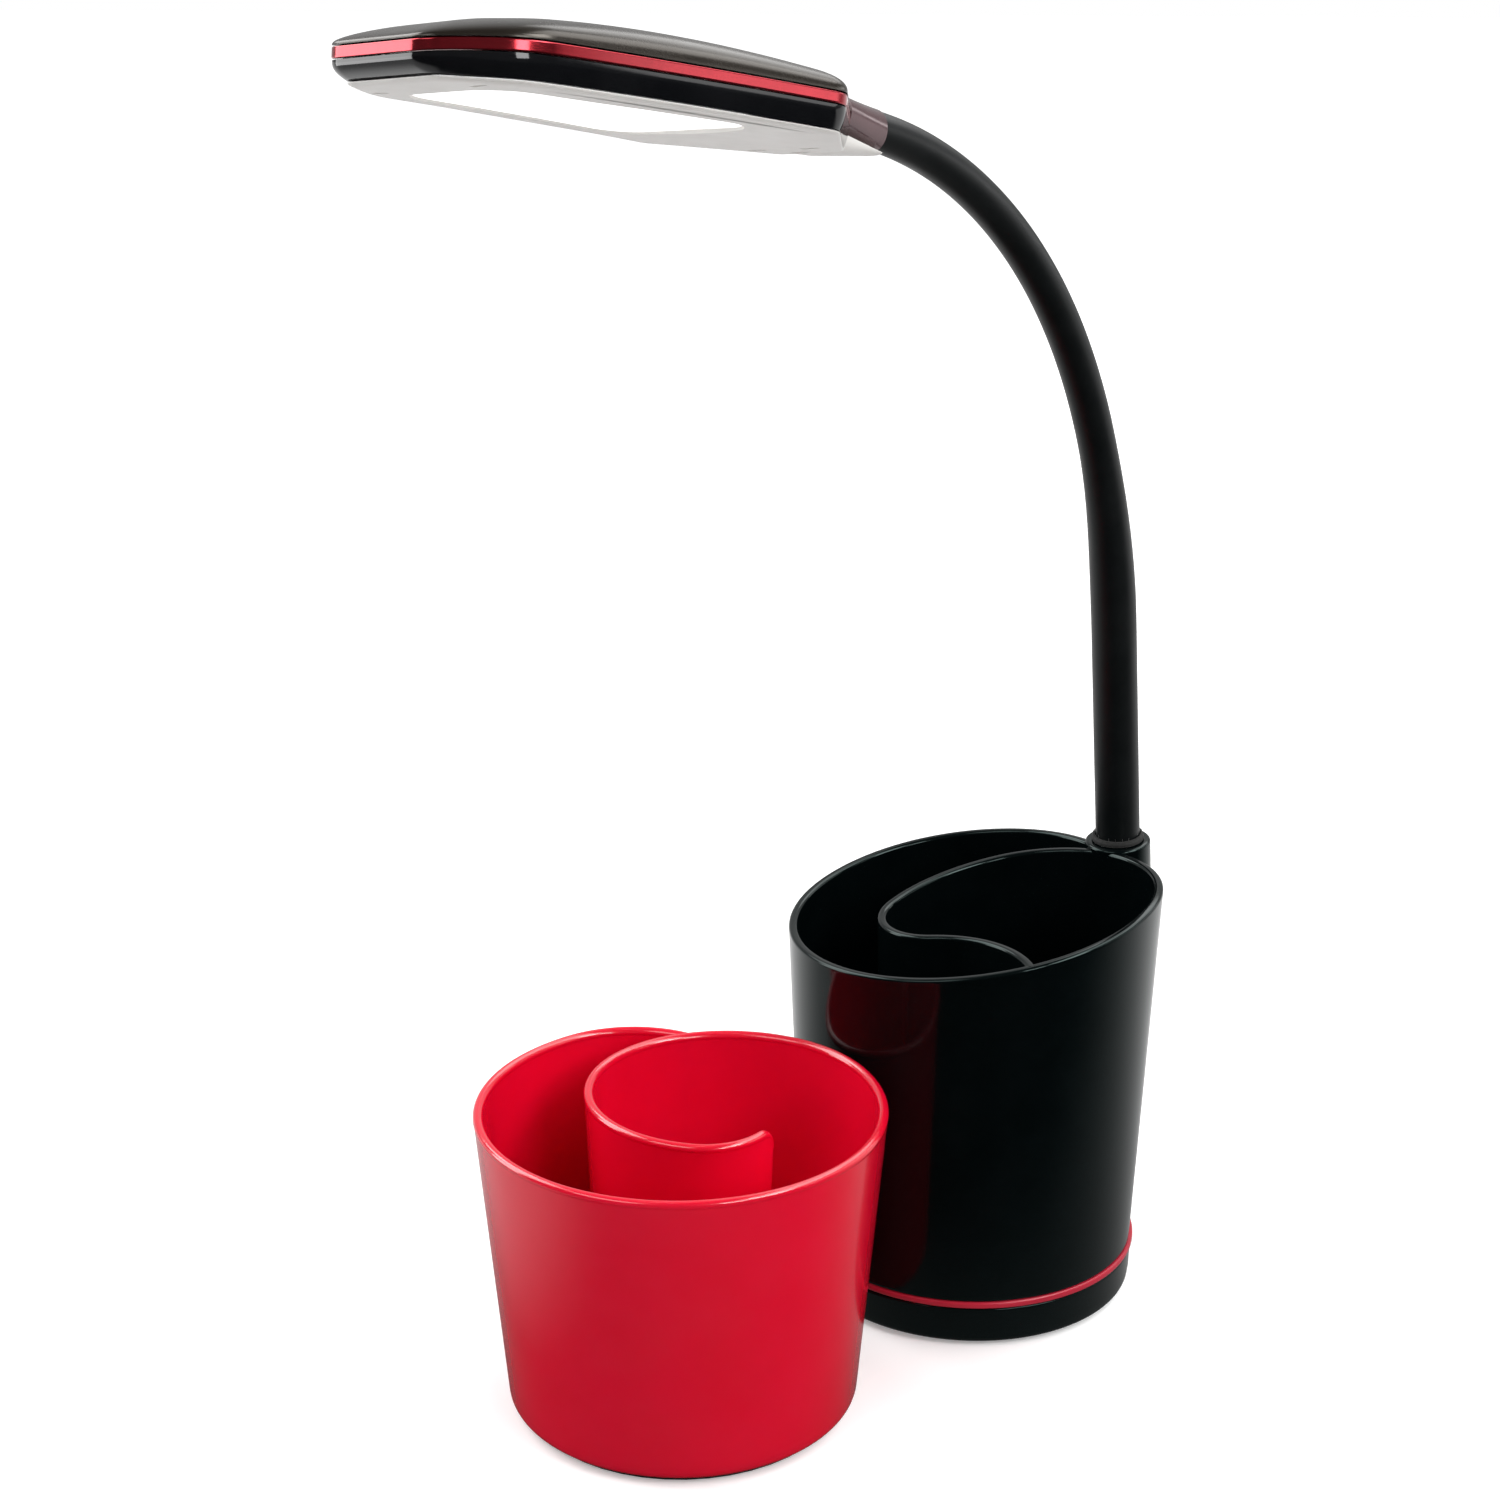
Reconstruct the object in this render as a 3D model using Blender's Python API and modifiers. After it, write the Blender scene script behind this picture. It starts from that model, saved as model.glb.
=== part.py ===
"""Desk lamp: a pot base with a spiral wall, a flexible neck, a flat light head, and a matching cup.

Metres, +Z up. The origin is the centre of the base's underside on the desk. The camera side is -Y.
The head hangs out to the left and forward, over the cup.
"""

import math

import bmesh
import bpy
from mathutils import Matrix, Vector

# Clearances shared by the whole lamp
SEAT_GAP = 0.0003
OVERRUN = 0.004
MERGE_DISTANCE = 0.0000001
ROUND_STEPS = 48
SMALL_STEPS = 20

# Base: pad, cover, housing and ring
BASE_RADIUS = 0.0485
BASE_TAPER = 0.0464
PAD_THICKNESS = 0.0016
PAD_INSET = 0.0045
COVER_THICKNESS = 0.0025
HOUSING_LIFT = 0.0010
HOUSING_HEIGHT = 0.0123
HOUSING_WALL = 0.0022
RING_HEIGHT = 0.0020
RING_WIDTH = 0.0046
RING_PROUD = 0.0004
BALLAST_CLEARANCE = 0.0009
BALLAST_HEADROOM = 0.0007
BOSS_RADIUS = 0.0024
SCREW_RADIUS = 0.0009
SCREW_HEAD_RADIUS = 0.0020
SCREW_HEAD_HEIGHT = 0.0012
SCREW_LENGTH = 0.0055
SCREW_INSET = 0.0029
SCREW_COUNT = 4
SCREW_FIRST_ANGLE = math.radians(45)
BOARD_WIDTH = 0.0240
BOARD_DEPTH = 0.0105
BOARD_THICKNESS = 0.0012
BOARD_SEAT = 0.0005
INLET_WIDTH = 0.0092
INLET_HEIGHT = 0.0034
INLET_DEPTH = 0.0072
INLET_WALL = 0.0005
INLET_ROUNDING = 0.0012

# Pot: a spiral wall with a slanted rim, on a round floor
POT_FLOOR = 0.0025
POT_WALL = 0.0026
RIM_HEIGHT = 0.1184
RIM_SLOPE_ACROSS = 0.156
RIM_SLOPE_BACK = 0.0355
POT_ENTRY_SHARE = 0.8768
POT_ENTRY_ANGLE = math.radians(33.5)
POT_JOIN_ANGLE = math.radians(125)
POT_LEAVE_ANGLE = math.radians(-16.2)
POT_CURL_SHARES = (0.6699, 1.0286, 0.3530, 0.7003)
POT_CURL_TURNS = (math.radians(125.4), math.radians(40.8), math.radians(107.4), math.radians(-63.6))

# Socket on the pot for the neck
SOCKET_WALL = 0.0031
SOCKET_DEPTH = 0.0340
SOCKET_FOOT_DROP = 0.0420
SOCKET_TAIL_DROP = 0.0380
SOCKET_TAIL_RADIUS = 0.0030
SOCKET_RISE = 0.0084
FERRULE_WALL = 0.0012

# Neck: a thick stem, then a flexible run of short links
NECK_BEARING = math.radians(35.807)
NECK_INSET = 0.003545
NECK_RISE = 0.0116
NECK_HEADING = math.radians(-134)
NECK_LEAN = math.radians(5.1)
NECK_BEND = math.radians(69)
NECK_BEND_POWER = 1.45
NECK_STRAIGHT = 0.0586
NECK_CURVED = 0.1925
STEM_RADIUS = 0.0065
STEM_SHOULDER = 0.0760
STEM_LENGTH = 0.0930
LINK_RADIUS = 0.0054
LINK_END_RADIUS = 0.0050
LINK_COUNT = 6
LINK_LIP = 0.0026
RING_SPACING = 0.0065
PATH_STEP = 0.0005
COLLAR_WIDTH = 0.0012
COLLAR_HEIGHT = 0.0016

# Head: outline corners in its own plane, from the neck to the tip
HEAD_PITCH = math.radians(9.95)
HEAD_ROLL = math.radians(6.2)
HEAD_LENGTH = 0.1479
HEAD_TIP_HALF = 0.0178
CORNER_SETBACK = 0.0192
HEAD_CORNER_HALF = 0.0307
HEAD_SHOULDER = 0.0482
HEAD_SHOULDER_HALF = 0.0367
HEAD_TAIL = 0.0180
HEAD_TAIL_HALF = 0.0110
TIP_ROUNDING = 0.0080
CORNER_ROUNDING = 0.0227
SHOULDER_ROUNDING = 0.0100
TAIL_ROUNDING = 0.0040
HEAD_ARCH = 0.0032
ARCH_SETBACK = 0.0159
SPINE_START = 0.0500
SPINE_SETBACK = 0.0430
CROWN_HEIGHT = 0.0084
CROWN_END_SHARE = 0.37
CROWN_WALL = 0.0016
STRIPE_LEVEL = 0.0026
STRIPE_HEIGHT = 0.0026
STRIPE_DEPTH = 0.0024
SIDE_HEIGHT = 0.0053
SIDE_WALL = 0.0016
SIDE_TUCK = 0.0012
TRAY_HEIGHT = 0.0010
TRAY_TUCK = 0.0040
PANEL_START = 0.0587
PANEL_END_SETBACK = 0.0164
PANEL_START_HALF = 0.0257
PANEL_END_HALF = 0.0194
PANEL_ROUNDING = 0.0036
PANEL_FLANGE = 0.0014
PANEL_FLANGE_HEIGHT = 0.0008
PANEL_RECESS = 0.0003
GUIDE_THICKNESS = 0.0018
REFLECTOR_THICKNESS = 0.0005
HEAT_PLATE_THICKNESS = 0.0012
LED_STRIP_WIDTH = 0.0022
SLOT_WIDTH = 0.0010
SLOT_DEPTH = 0.0005
TIP_SLOT_SETBACK = 0.0154
TIP_SLOT_OUT = 0.0183
TIP_SLOT_LENGTH = 0.0056
TAIL_SLOT_START = 0.0290
TAIL_SLOT_OUT = 0.0095
TAIL_SLOT_LENGTH = 0.0065
TONGUE_START = 0.0008
TONGUE_THICKNESS = 0.0010
TONGUE_START_THICKNESS = 0.0008
TONGUE_START_HALF = 0.0048
TONGUE_ROOT_HALF = 0.0086
SLEEVE_STEP = 0.0003
SLEEVE_RISE_SHARE = 0.33

# Organiser cup, standing beside the base
CUP_BEARING = math.radians(-134.888)
CUP_SPACING = 0.00043
CUP_RADIUS = 0.0545
CUP_DRAW_IN = 0.0077
CUP_HEIGHT = 0.0870
CUP_WALL = 0.0024
CUP_FLOOR = 0.0034
CUP_EDGE_ROUNDING = 0.0030
CUP_BEAD = 0.0015
CUP_FOOT_INSET = 0.0034
CUP_FOOT_WIDTH = 0.0036
CUP_FOOT_HEIGHT = 0.0012
CUP_END_ROUNDING = 0.0055
CUP_ENTRY_SHARE = 0.5541
CUP_JOIN_ANGLE = math.radians(132)
CUP_LEAVE_ANGLE = math.radians(30)
CUP_CURL_SHARES = (0.7578, 0.6459, 0.3303)
CUP_CURL_TURNS = (math.radians(85), math.radians(150), math.radians(81))

ARC_STEP = math.radians(6.5)
LEAST_ARC_STEPS = 4

# How far each ring of the crown draws in toward the spine, and the share of its height that it reaches
CROWN_SHARES = (
    (0.0, 0.0), (0.02, 0.24), (0.08, 0.50), (0.22, 0.74), (0.45, 0.90), (0.72, 0.975), (1.0, 1.0),
)
SIDE_SHARES = ((0.0, 0.0), (0.25, 0.55), (1.0, 1.0))
TRAY_SHARES = ((0.0, 0.0), (0.45, 0.60), (1.0, 1.0))


def clear_scene():
    for obj in list(bpy.data.objects):
        bpy.data.objects.remove(obj, do_unlink=True)


def add_collection(name):
    collection = bpy.data.collections.new(name)
    bpy.context.scene.collection.children.link(collection)
    return collection


clear_scene()
LAMP = add_collection("led_desk_lamp")
TOOLS = add_collection("cutters")


def add_material(name, colour, roughness, metallic=0.0):
    material = bpy.data.materials.new(name)
    material.use_nodes = True
    shader = material.node_tree.nodes["Principled BSDF"]
    shader.inputs["Base Color"].default_value = (*colour, 1.0)
    shader.inputs["Roughness"].default_value = roughness
    shader.inputs["Metallic"].default_value = metallic
    material.diffuse_color = (*colour, 1.0)
    return material


BLACK = (0.012, 0.014, 0.015)
RED = (0.66, 0.004, 0.022)
STEEL = (0.55, 0.55, 0.56)
PALE_GREY = (0.62, 0.61, 0.60)
WHITE = (0.90, 0.90, 0.89)
BOARD_GREEN = (0.02, 0.16, 0.06)


def smooth(obj):
    obj.data.shade_smooth()
    obj.data.set_sharp_from_angle(angle=math.radians(35))


def add_solid(name, points, faces, material, parent=None):
    """A closed mesh from points and faces, its faces turned outwards."""
    mesh = bpy.data.meshes.new(name)
    mesh.from_pydata([tuple(point) for point in points], [], faces)
    shape = bmesh.new()
    shape.from_mesh(mesh)
    bmesh.ops.remove_doubles(shape, verts=shape.verts, dist=MERGE_DISTANCE)
    bmesh.ops.recalc_face_normals(shape, faces=shape.faces)
    shape.to_mesh(mesh)
    shape.free()
    return add_object(name, mesh, material, parent)


def add_object(name, mesh, material, parent=None):
    obj = bpy.data.objects.new(name, mesh)
    if material is None:
        TOOLS.objects.link(obj)
        obj.hide_render = True
        obj.display_type = "WIRE"
    else:
        LAMP.objects.link(obj)
        mesh.materials.append(material)
        smooth(obj)
    if parent is not None:
        obj.parent = parent
    return obj


def add_empty(name, world, parent=None):
    """An empty at a place in the world; it carries what turns or slides about it."""
    empty = bpy.data.objects.new(name, None)
    LAMP.objects.link(empty)
    empty.empty_display_size = LINK_RADIUS
    keep_place(empty, world, parent)
    return empty


def keep_place(obj, world, parent):
    if parent is not None:
        obj.parent = parent
        obj.matrix_parent_inverse = WORLD_OF[parent.name].inverted()
    obj.matrix_basis = world
    WORLD_OF[obj.name] = world


WORLD_OF = {}


def combine(obj, tool, operation, self_crossing=False):
    modifier = obj.modifiers.new(f"{operation.lower()} {tool.name}", "BOOLEAN")
    modifier.operation = operation
    modifier.object = tool
    modifier.use_self = self_crossing
    return modifier


def turned(name, profile, material, steps=ROUND_STEPS, place=None, parent=None):
    """A profile of (radius, height) points, down its outer side, turned about Z."""
    mesh = bpy.data.meshes.new(name)
    closes = profile[0][0] > 0
    count = len(profile)
    edges = [(k, k + 1) for k in range(count - 1)]
    if closes:
        edges.append((count - 1, 0))
    mesh.from_pydata([(radius, 0, height) for radius, height in profile], edges, [])
    obj = add_object(name, mesh, material)
    if place is not None:
        keep_place(obj, place, parent)
    screw = obj.modifiers.new("turn", "SCREW")
    screw.axis = "Z"
    screw.angle = math.tau
    screw.steps = steps
    screw.render_steps = steps
    screw.use_merge_vertices = True
    screw.merge_threshold = MERGE_DISTANCE
    return obj


def cylinder(name, radius, bottom, top, material=None, centre=(0, 0), steps=SMALL_STEPS):
    profile = [(0, top), (radius, top), (radius, bottom), (0, bottom)]
    return turned(name, profile, material, steps, Matrix.Translation((centre[0], centre[1], 0)))


def block(name, low, high, material=None, rounding=0):
    """A box between two corners, with its upright edges rounded where a rounding is given."""
    shape = bmesh.new()
    bmesh.ops.create_cube(shape, size=1)
    size = Vector(high) - Vector(low)
    middle = (Vector(high) + Vector(low)) / 2
    bmesh.ops.scale(shape, vec=size, verts=shape.verts)
    bmesh.ops.translate(shape, vec=middle, verts=shape.verts)
    mesh = bpy.data.meshes.new(name)
    shape.to_mesh(mesh)
    shape.free()
    obj = add_object(name, mesh, material)
    if rounding:
        bevel = obj.modifiers.new("rounding", "BEVEL")
        bevel.width = rounding
        bevel.segments = 3
    return obj


def base_radius(height):
    return BASE_RADIUS + BASE_TAPER * height


def on_bearing(bearing, distance):
    return distance * math.cos(bearing), distance * math.sin(bearing)


def rim_level(x, y):
    return RIM_HEIGHT + RIM_SLOPE_ACROSS * x + RIM_SLOPE_BACK * y


class Station:
    """A point of a wall's plan with the wall's left-hand normal there."""

    def __init__(self, x, y, heading):
        self.x = x
        self.y = y
        self.side = (-math.sin(heading), math.cos(heading))


def arc_chain(start, heading, arcs):
    """Stations along tangent arcs; each arc is (radius, turn), and a turn to the left is positive."""
    x, y = start
    stations = [Station(x, y, heading)]
    for radius, turn in arcs:
        hand = math.copysign(1, turn)
        centre_x = x - hand * radius * math.sin(heading)
        centre_y = y + hand * radius * math.cos(heading)
        count = max(LEAST_ARC_STEPS, round(abs(turn) / ARC_STEP))
        for k in range(1, count + 1):
            now = heading + turn * k / count
            x = centre_x + hand * radius * math.sin(now)
            y = centre_y - hand * radius * math.cos(now)
            stations.append(Station(x, y, now))
        heading += turn
    return stations


def spiral_plan(radius, entry_radius, entry_angle, join_angle, leave_angle, curl):
    """The plan of a spiral wall: an entry arc, most of a circle, then the arcs of the curl."""
    shift = radius - entry_radius
    start = (
        shift * math.cos(join_angle) + entry_radius * math.cos(entry_angle),
        shift * math.sin(join_angle) + entry_radius * math.sin(entry_angle),
    )
    arcs = [(entry_radius, join_angle - entry_angle), (radius, math.tau + leave_angle - join_angle)]
    return arc_chain(start, entry_angle + math.pi / 2, arcs + curl)


def crossing_angle(centre, radius, other, other_radius):
    """The bearing from a circle's centre to the far point where it crosses another circle."""
    apart = Vector(other) - Vector(centre)
    reach = (radius ** 2 - other_radius ** 2 + apart.length_squared) / (2 * apart.length)
    return math.atan2(apart.y, apart.x) + math.acos(reach / radius)


def wall_sweep(name, stations, section, levels, plan_share, material):
    """A wall along the stations. Its section is (offset, share of height, lift) points round a closed loop.

    levels(station) gives the bottom and the top there, and plan_share(height, top) how far it draws in.
    """
    points = []
    for station in stations:
        bottom, top = levels(station)
        for offset, height_share, lift in section:
            height = bottom + (top - bottom) * height_share + lift
            share = plan_share(height, top)
            points.append((
                station.x * share + station.side[0] * offset,
                station.y * share + station.side[1] * offset,
                height,
            ))
    around = len(section)
    faces = []
    for row in range(len(stations) - 1):
        for k in range(around):
            after = (k + 1) % around
            faces.append((
                row * around + k, row * around + after,
                (row + 1) * around + after, (row + 1) * around + k,
            ))
    last = (len(stations) - 1) * around
    faces.append(tuple(range(around)))
    faces.append(tuple(last + k for k in reversed(range(around))))
    return add_solid(name, points, faces, material)


def rounded_top(half, flat_share=0.5):
    """A wall's section: straight sides and a rim with its two edges rounded."""
    rounding = half * (1 - flat_share)
    section = [(-half, 0, 0), (half, 0, 0)]
    for centre, turns in ((half - rounding, (0, 45, 90)), (rounding - half, (90, 135, 180))):
        for turn in turns:
            angle = math.radians(turn)
            section.append((centre + rounding * math.cos(angle), 1, rounding * (math.sin(angle) - 1)))
    return section


def beaded_top(half, bead):
    """A wall's section with a round bead along its rim."""
    section = [(-half, 0, 0), (half, 0, 0)]
    reach = math.asin(half / bead)
    for k in range(9):
        angle = -math.pi / 2 + reach + (math.tau - 2 * reach) * k / 8
        section.append((bead * math.cos(angle), 1, bead * math.sin(angle) - bead))
    return section


# Heights that stack up from the desk, and sizes that follow from the ones above
COVER_BOTTOM = PAD_THICKNESS + SEAT_GAP
COVER_TOP = COVER_BOTTOM + COVER_THICKNESS
RING_BOTTOM = HOUSING_HEIGHT + SEAT_GAP
RING_TOP = RING_BOTTOM + RING_HEIGHT
POT_BOTTOM = RING_TOP + SEAT_GAP
POT_FLOOR_TOP = POT_BOTTOM + POT_FLOOR
PLATEAU_RADIUS = BASE_RADIUS - RING_WIDTH - SEAT_GAP
PLATEAU_INNER = PLATEAU_RADIUS - HOUSING_WALL
SCREW_CIRCLE = BASE_RADIUS - HOUSING_WALL - SCREW_INSET
DECK_UNDER = HOUSING_HEIGHT - HOUSING_WALL
PLATEAU_UNDER = RING_TOP - HOUSING_WALL
BOARD_BOTTOM = COVER_TOP + BOARD_SEAT
BOARD_TOP = BOARD_BOTTOM + BOARD_THICKNESS
BOARD_BACK = BASE_RADIUS - 2 * HOUSING_WALL
POT_RADIUS = base_radius(RIM_HEIGHT) - POT_WALL / 2
SOCKET_RADIUS = STEM_RADIUS + SOCKET_WALL
SOCKET_TOP = RIM_HEIGHT + SOCKET_RISE
NECK_START = RIM_HEIGHT + NECK_RISE
NECK_X, NECK_Y = on_bearing(NECK_BEARING, base_radius(NECK_START) - NECK_INSET)
COLLAR_RADIUS = STEM_RADIUS + COLLAR_WIDTH
SLEEVE_RADIUS = LINK_END_RADIUS + SLEEVE_STEP
HEAD_CORNER = HEAD_LENGTH - CORNER_SETBACK
HEAD_ARCH_CENTRE = HEAD_LENGTH - ARCH_SETBACK
SPINE_END = HEAD_LENGTH - SPINE_SETBACK
PANEL_END = HEAD_LENGTH - PANEL_END_SETBACK
CUP_BOTTOM_RADIUS = CUP_RADIUS + CUP_WALL / 2 - CUP_DRAW_IN
CUP_FOOT_RADIUS = CUP_BOTTOM_RADIUS - CUP_FOOT_INSET
CUP_X, CUP_Y = on_bearing(CUP_BEARING, base_radius(CUP_HEIGHT) + CUP_RADIUS + CUP_BEAD + CUP_SPACING)


def make_base():
    pad_radius = BASE_RADIUS - PAD_INSET
    turned(
        "non_slip_pad",
        [(0, PAD_THICKNESS), (pad_radius, PAD_THICKNESS), (pad_radius, 0), (0, 0)],
        add_material("non-slip rubber", BLACK, 0.8),
    )
    cover_radius = base_radius(HOUSING_LIFT) - HOUSING_WALL - SEAT_GAP
    cover = turned(
        "bottom_cover",
        [(0, COVER_TOP), (cover_radius, COVER_TOP), (cover_radius, COVER_BOTTOM), (0, COVER_BOTTOM)],
        add_material("cover plastic", BLACK, 0.5),
    )
    low_outer = base_radius(HOUSING_LIFT)
    high_outer = base_radius(HOUSING_HEIGHT)
    low_inner = low_outer - HOUSING_WALL
    housing = turned(
        "base_housing",
        [
            (0, RING_TOP), (PLATEAU_RADIUS, RING_TOP), (PLATEAU_RADIUS, HOUSING_HEIGHT),
            (high_outer, HOUSING_HEIGHT), (low_outer, HOUSING_LIFT), (low_inner, HOUSING_LIFT),
            (low_inner, DECK_UNDER), (PLATEAU_INNER, DECK_UNDER), (PLATEAU_INNER, PLATEAU_UNDER),
            (0, PLATEAU_UNDER),
        ],
        add_material("housing plastic", BLACK, 0.2),
    )
    ring_outer = base_radius(RING_TOP) + RING_PROUD
    ring_inner = PLATEAU_RADIUS + SEAT_GAP
    turned(
        "trim_ring",
        [
            (ring_outer, RING_TOP), (ring_outer, RING_BOTTOM),
            (ring_inner, RING_BOTTOM), (ring_inner, RING_TOP),
        ],
        add_material("ring plastic", RED, 0.3),
    )
    ballast_bottom = COVER_TOP + SEAT_GAP
    ballast_top = PLATEAU_UNDER - BALLAST_HEADROOM
    ballast_radius = PLATEAU_INNER - BALLAST_CLEARANCE
    ballast = turned(
        "ballast_weight",
        [
            (0, ballast_top), (ballast_radius, ballast_top),
            (ballast_radius, ballast_bottom), (0, ballast_bottom),
        ],
        add_material("ballast steel", STEEL, 0.4, 1.0),
    )
    board_front = BOARD_BACK - BOARD_DEPTH
    notch_half = BOARD_WIDTH / 2 + 2 * SEAT_GAP
    notch = block(
        "ballast_notch",
        (-notch_half, board_front - 2 * SEAT_GAP, 0),
        (notch_half, BASE_RADIUS + OVERRUN, HOUSING_HEIGHT + OVERRUN),
    )
    combine(ballast, notch, "DIFFERENCE")
    block(
        "control_board",
        (-BOARD_WIDTH / 2, board_front, BOARD_BOTTOM),
        (BOARD_WIDTH / 2, BOARD_BACK, BOARD_TOP),
        add_material("board", BOARD_GREEN, 0.5),
    )
    make_inlet(housing)
    make_cover_screws(housing, cover)


def make_inlet(housing):
    """A low-voltage socket on the board, in a slot at the back of the housing."""
    bottom = BOARD_TOP + SEAT_GAP
    back = base_radius(bottom) - HOUSING_LIFT / 2
    half = INLET_WIDTH / 2
    socket = block(
        "power_inlet",
        (-half, back - INLET_DEPTH, bottom),
        (half, back, bottom + INLET_HEIGHT),
        add_material("inlet metal", STEEL, 0.35, 1.0),
    )
    mouth = block(
        "inlet_mouth",
        (-half + INLET_WALL, back - INLET_DEPTH + INLET_ROUNDING, bottom + INLET_WALL),
        (half - INLET_WALL, back + OVERRUN, bottom + INLET_HEIGHT - INLET_WALL),
    )
    combine(socket, mouth, "DIFFERENCE")
    slot = block(
        "inlet_slot",
        (-half - SEAT_GAP, back - 2 * HOUSING_WALL, bottom - SEAT_GAP),
        (half + SEAT_GAP, back + OVERRUN, bottom + INLET_HEIGHT + SEAT_GAP),
    )
    combine(housing, slot, "DIFFERENCE")


def make_cover_screws(housing, cover):
    """Screws up through the cover into bosses under the deck; the pad hides their heads."""
    steel = add_material("screw steel", STEEL, 0.35, 1.0)
    head_bottom = COVER_BOTTOM
    head_top = head_bottom + SCREW_HEAD_HEIGHT
    seat = head_top + SEAT_GAP
    boss_bottom = COVER_TOP + SEAT_GAP
    for k in range(SCREW_COUNT):
        angle = SCREW_FIRST_ANGLE + math.tau * k / SCREW_COUNT
        centre = on_bearing(angle, SCREW_CIRCLE)
        place = Matrix.Translation((centre[0], centre[1], 0))
        tip = head_top + SCREW_LENGTH
        turned(
            f"cover_screw_{k + 1}",
            [
                (0, tip), (SCREW_RADIUS, tip), (SCREW_RADIUS, head_top),
                (SCREW_HEAD_RADIUS, head_top), (SCREW_HEAD_RADIUS, head_bottom), (0, head_bottom),
            ],
            steel,
            12,
            place,
        )
        boss_top = HOUSING_HEIGHT - HOUSING_LIFT
        boss = cylinder(f"boss_{k + 1}", BOSS_RADIUS, boss_bottom, boss_top, None, centre, 16)
        combine(housing, boss, "UNION")
        pilot = cylinder(
            f"pilot_{k + 1}", SCREW_RADIUS + SEAT_GAP, 0, tip + 2 * SEAT_GAP, None, centre, 12
        )
        combine(housing, pilot, "DIFFERENCE")
        combine(cover, pilot, "DIFFERENCE")
        sink = cylinder(f"sink_{k + 1}", SCREW_HEAD_RADIUS + SEAT_GAP, 0, seat, None, centre, 16)
        combine(cover, sink, "DIFFERENCE")


def neck_path():
    """Points along the neck's middle line, from the top of the socket to the head, one every PATH_STEP."""
    heading = Vector((math.cos(NECK_HEADING), math.sin(NECK_HEADING), 0))
    up = Vector((0, 0, 1))
    point = Vector((NECK_X, NECK_Y, NECK_START))
    count = round((NECK_STRAIGHT + NECK_CURVED) / PATH_STEP)
    points = [point.copy()]
    tangents = [neck_tangent(0, heading, up)]
    for k in range(count):
        middle = (k + 0.5) * PATH_STEP
        point = point + neck_tangent(middle, heading, up) * PATH_STEP
        points.append(point.copy())
        tangents.append(neck_tangent((k + 1) * PATH_STEP, heading, up))
    return points, tangents


def neck_tangent(length, heading, up):
    turned_share = max(0.0, (length - NECK_STRAIGHT) / NECK_CURVED)
    angle = NECK_LEAN + NECK_BEND * turned_share ** NECK_BEND_POWER
    return heading * math.sin(angle) + up * math.cos(angle)


PATH_POINTS, PATH_TANGENTS = neck_path()
NECK_LENGTH = (len(PATH_POINTS) - 1) * PATH_STEP
NECK_SIDE = Vector((-math.sin(NECK_HEADING), math.cos(NECK_HEADING), 0))
HEAD_ALONG = Vector((
    math.cos(NECK_HEADING) * math.cos(HEAD_PITCH),
    math.sin(NECK_HEADING) * math.cos(HEAD_PITCH),
    math.sin(HEAD_PITCH),
))


def on_neck(length):
    """The middle line's point and direction at a length from its start; below it runs straight on."""
    if length <= 0:
        return PATH_POINTS[0] + PATH_TANGENTS[0] * length, PATH_TANGENTS[0]
    k = min(round(length / PATH_STEP), len(PATH_POINTS) - 1)
    return PATH_POINTS[k], PATH_TANGENTS[k]


def link_radius(length):
    share = (length - STEM_LENGTH) / (NECK_LENGTH - STEM_LENGTH)
    return LINK_RADIUS + (LINK_END_RADIUS - LINK_RADIUS) * share


def joint_length(k):
    """Where link k starts; link LINK_COUNT would start at the head."""
    return STEM_LENGTH + (NECK_LENGTH - STEM_LENGTH) * k / LINK_COUNT


def ring_at(point, tangent, radius, steps):
    across = tangent.cross(NECK_SIDE)
    ring = []
    for k in range(steps):
        angle = math.tau * k / steps
        ring.append(point + (NECK_SIDE * math.cos(angle) + across * math.sin(angle)) * radius)
    return ring


def ring_loft(name, rings, material, parent=None, steps=SMALL_STEPS):
    """A closed loft through (point, direction, radius) rings; a ring of no radius is a single point."""
    points = []
    starts = []
    for point, tangent, radius in rings:
        starts.append(len(points))
        points.extend([point] if radius == 0 else ring_at(point, tangent, radius, steps))
    faces = []
    for row in range(len(rings) - 1):
        low, high = starts[row], starts[row + 1]
        for k in range(steps):
            after = (k + 1) % steps
            if rings[row][2] == 0:
                faces.append((low, high + k, high + after))
            elif rings[row + 1][2] == 0:
                faces.append((low + k, low + after, high))
            else:
                faces.append((low + k, low + after, high + after, high + k))
    for row, flip in ((0, False), (len(rings) - 1, True)):
        if rings[row][2] > 0:
            cap = [starts[row] + k for k in range(steps)]
            faces.append(tuple(reversed(cap)) if flip else tuple(cap))
    obj = add_solid(name, points, faces, material)
    if parent is not None:
        keep_place(obj, Matrix.Identity(4), parent)
    return obj


def dome_rings(length, radius):
    """Rings of the round upper end of a link, about its joint."""
    point, tangent = on_neck(length)
    rings = []
    for turn in (0, 30, 60):
        angle = math.radians(turn)
        rings.append((point + tangent * radius * math.sin(angle), tangent, radius * math.cos(angle)))
    rings.append((point + tangent * radius, tangent, 0))
    return rings


def hollow_rings(length, radius):
    """Rings of the hollow lower end of a link, which sits over the dome below it, and its lip."""
    point, tangent = on_neck(length)
    hollow = radius + SEAT_GAP
    reach = math.acos(LINK_LIP / hollow)
    rings = [(point + tangent * hollow, tangent, 0)]
    for share in (0.33, 0.67, 1.0):
        angle = reach * share
        rings.append((point + tangent * hollow * math.cos(angle), tangent, hollow * math.sin(angle)))
    rings.append((point + tangent * LINK_LIP, tangent, radius))
    return rings


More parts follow.
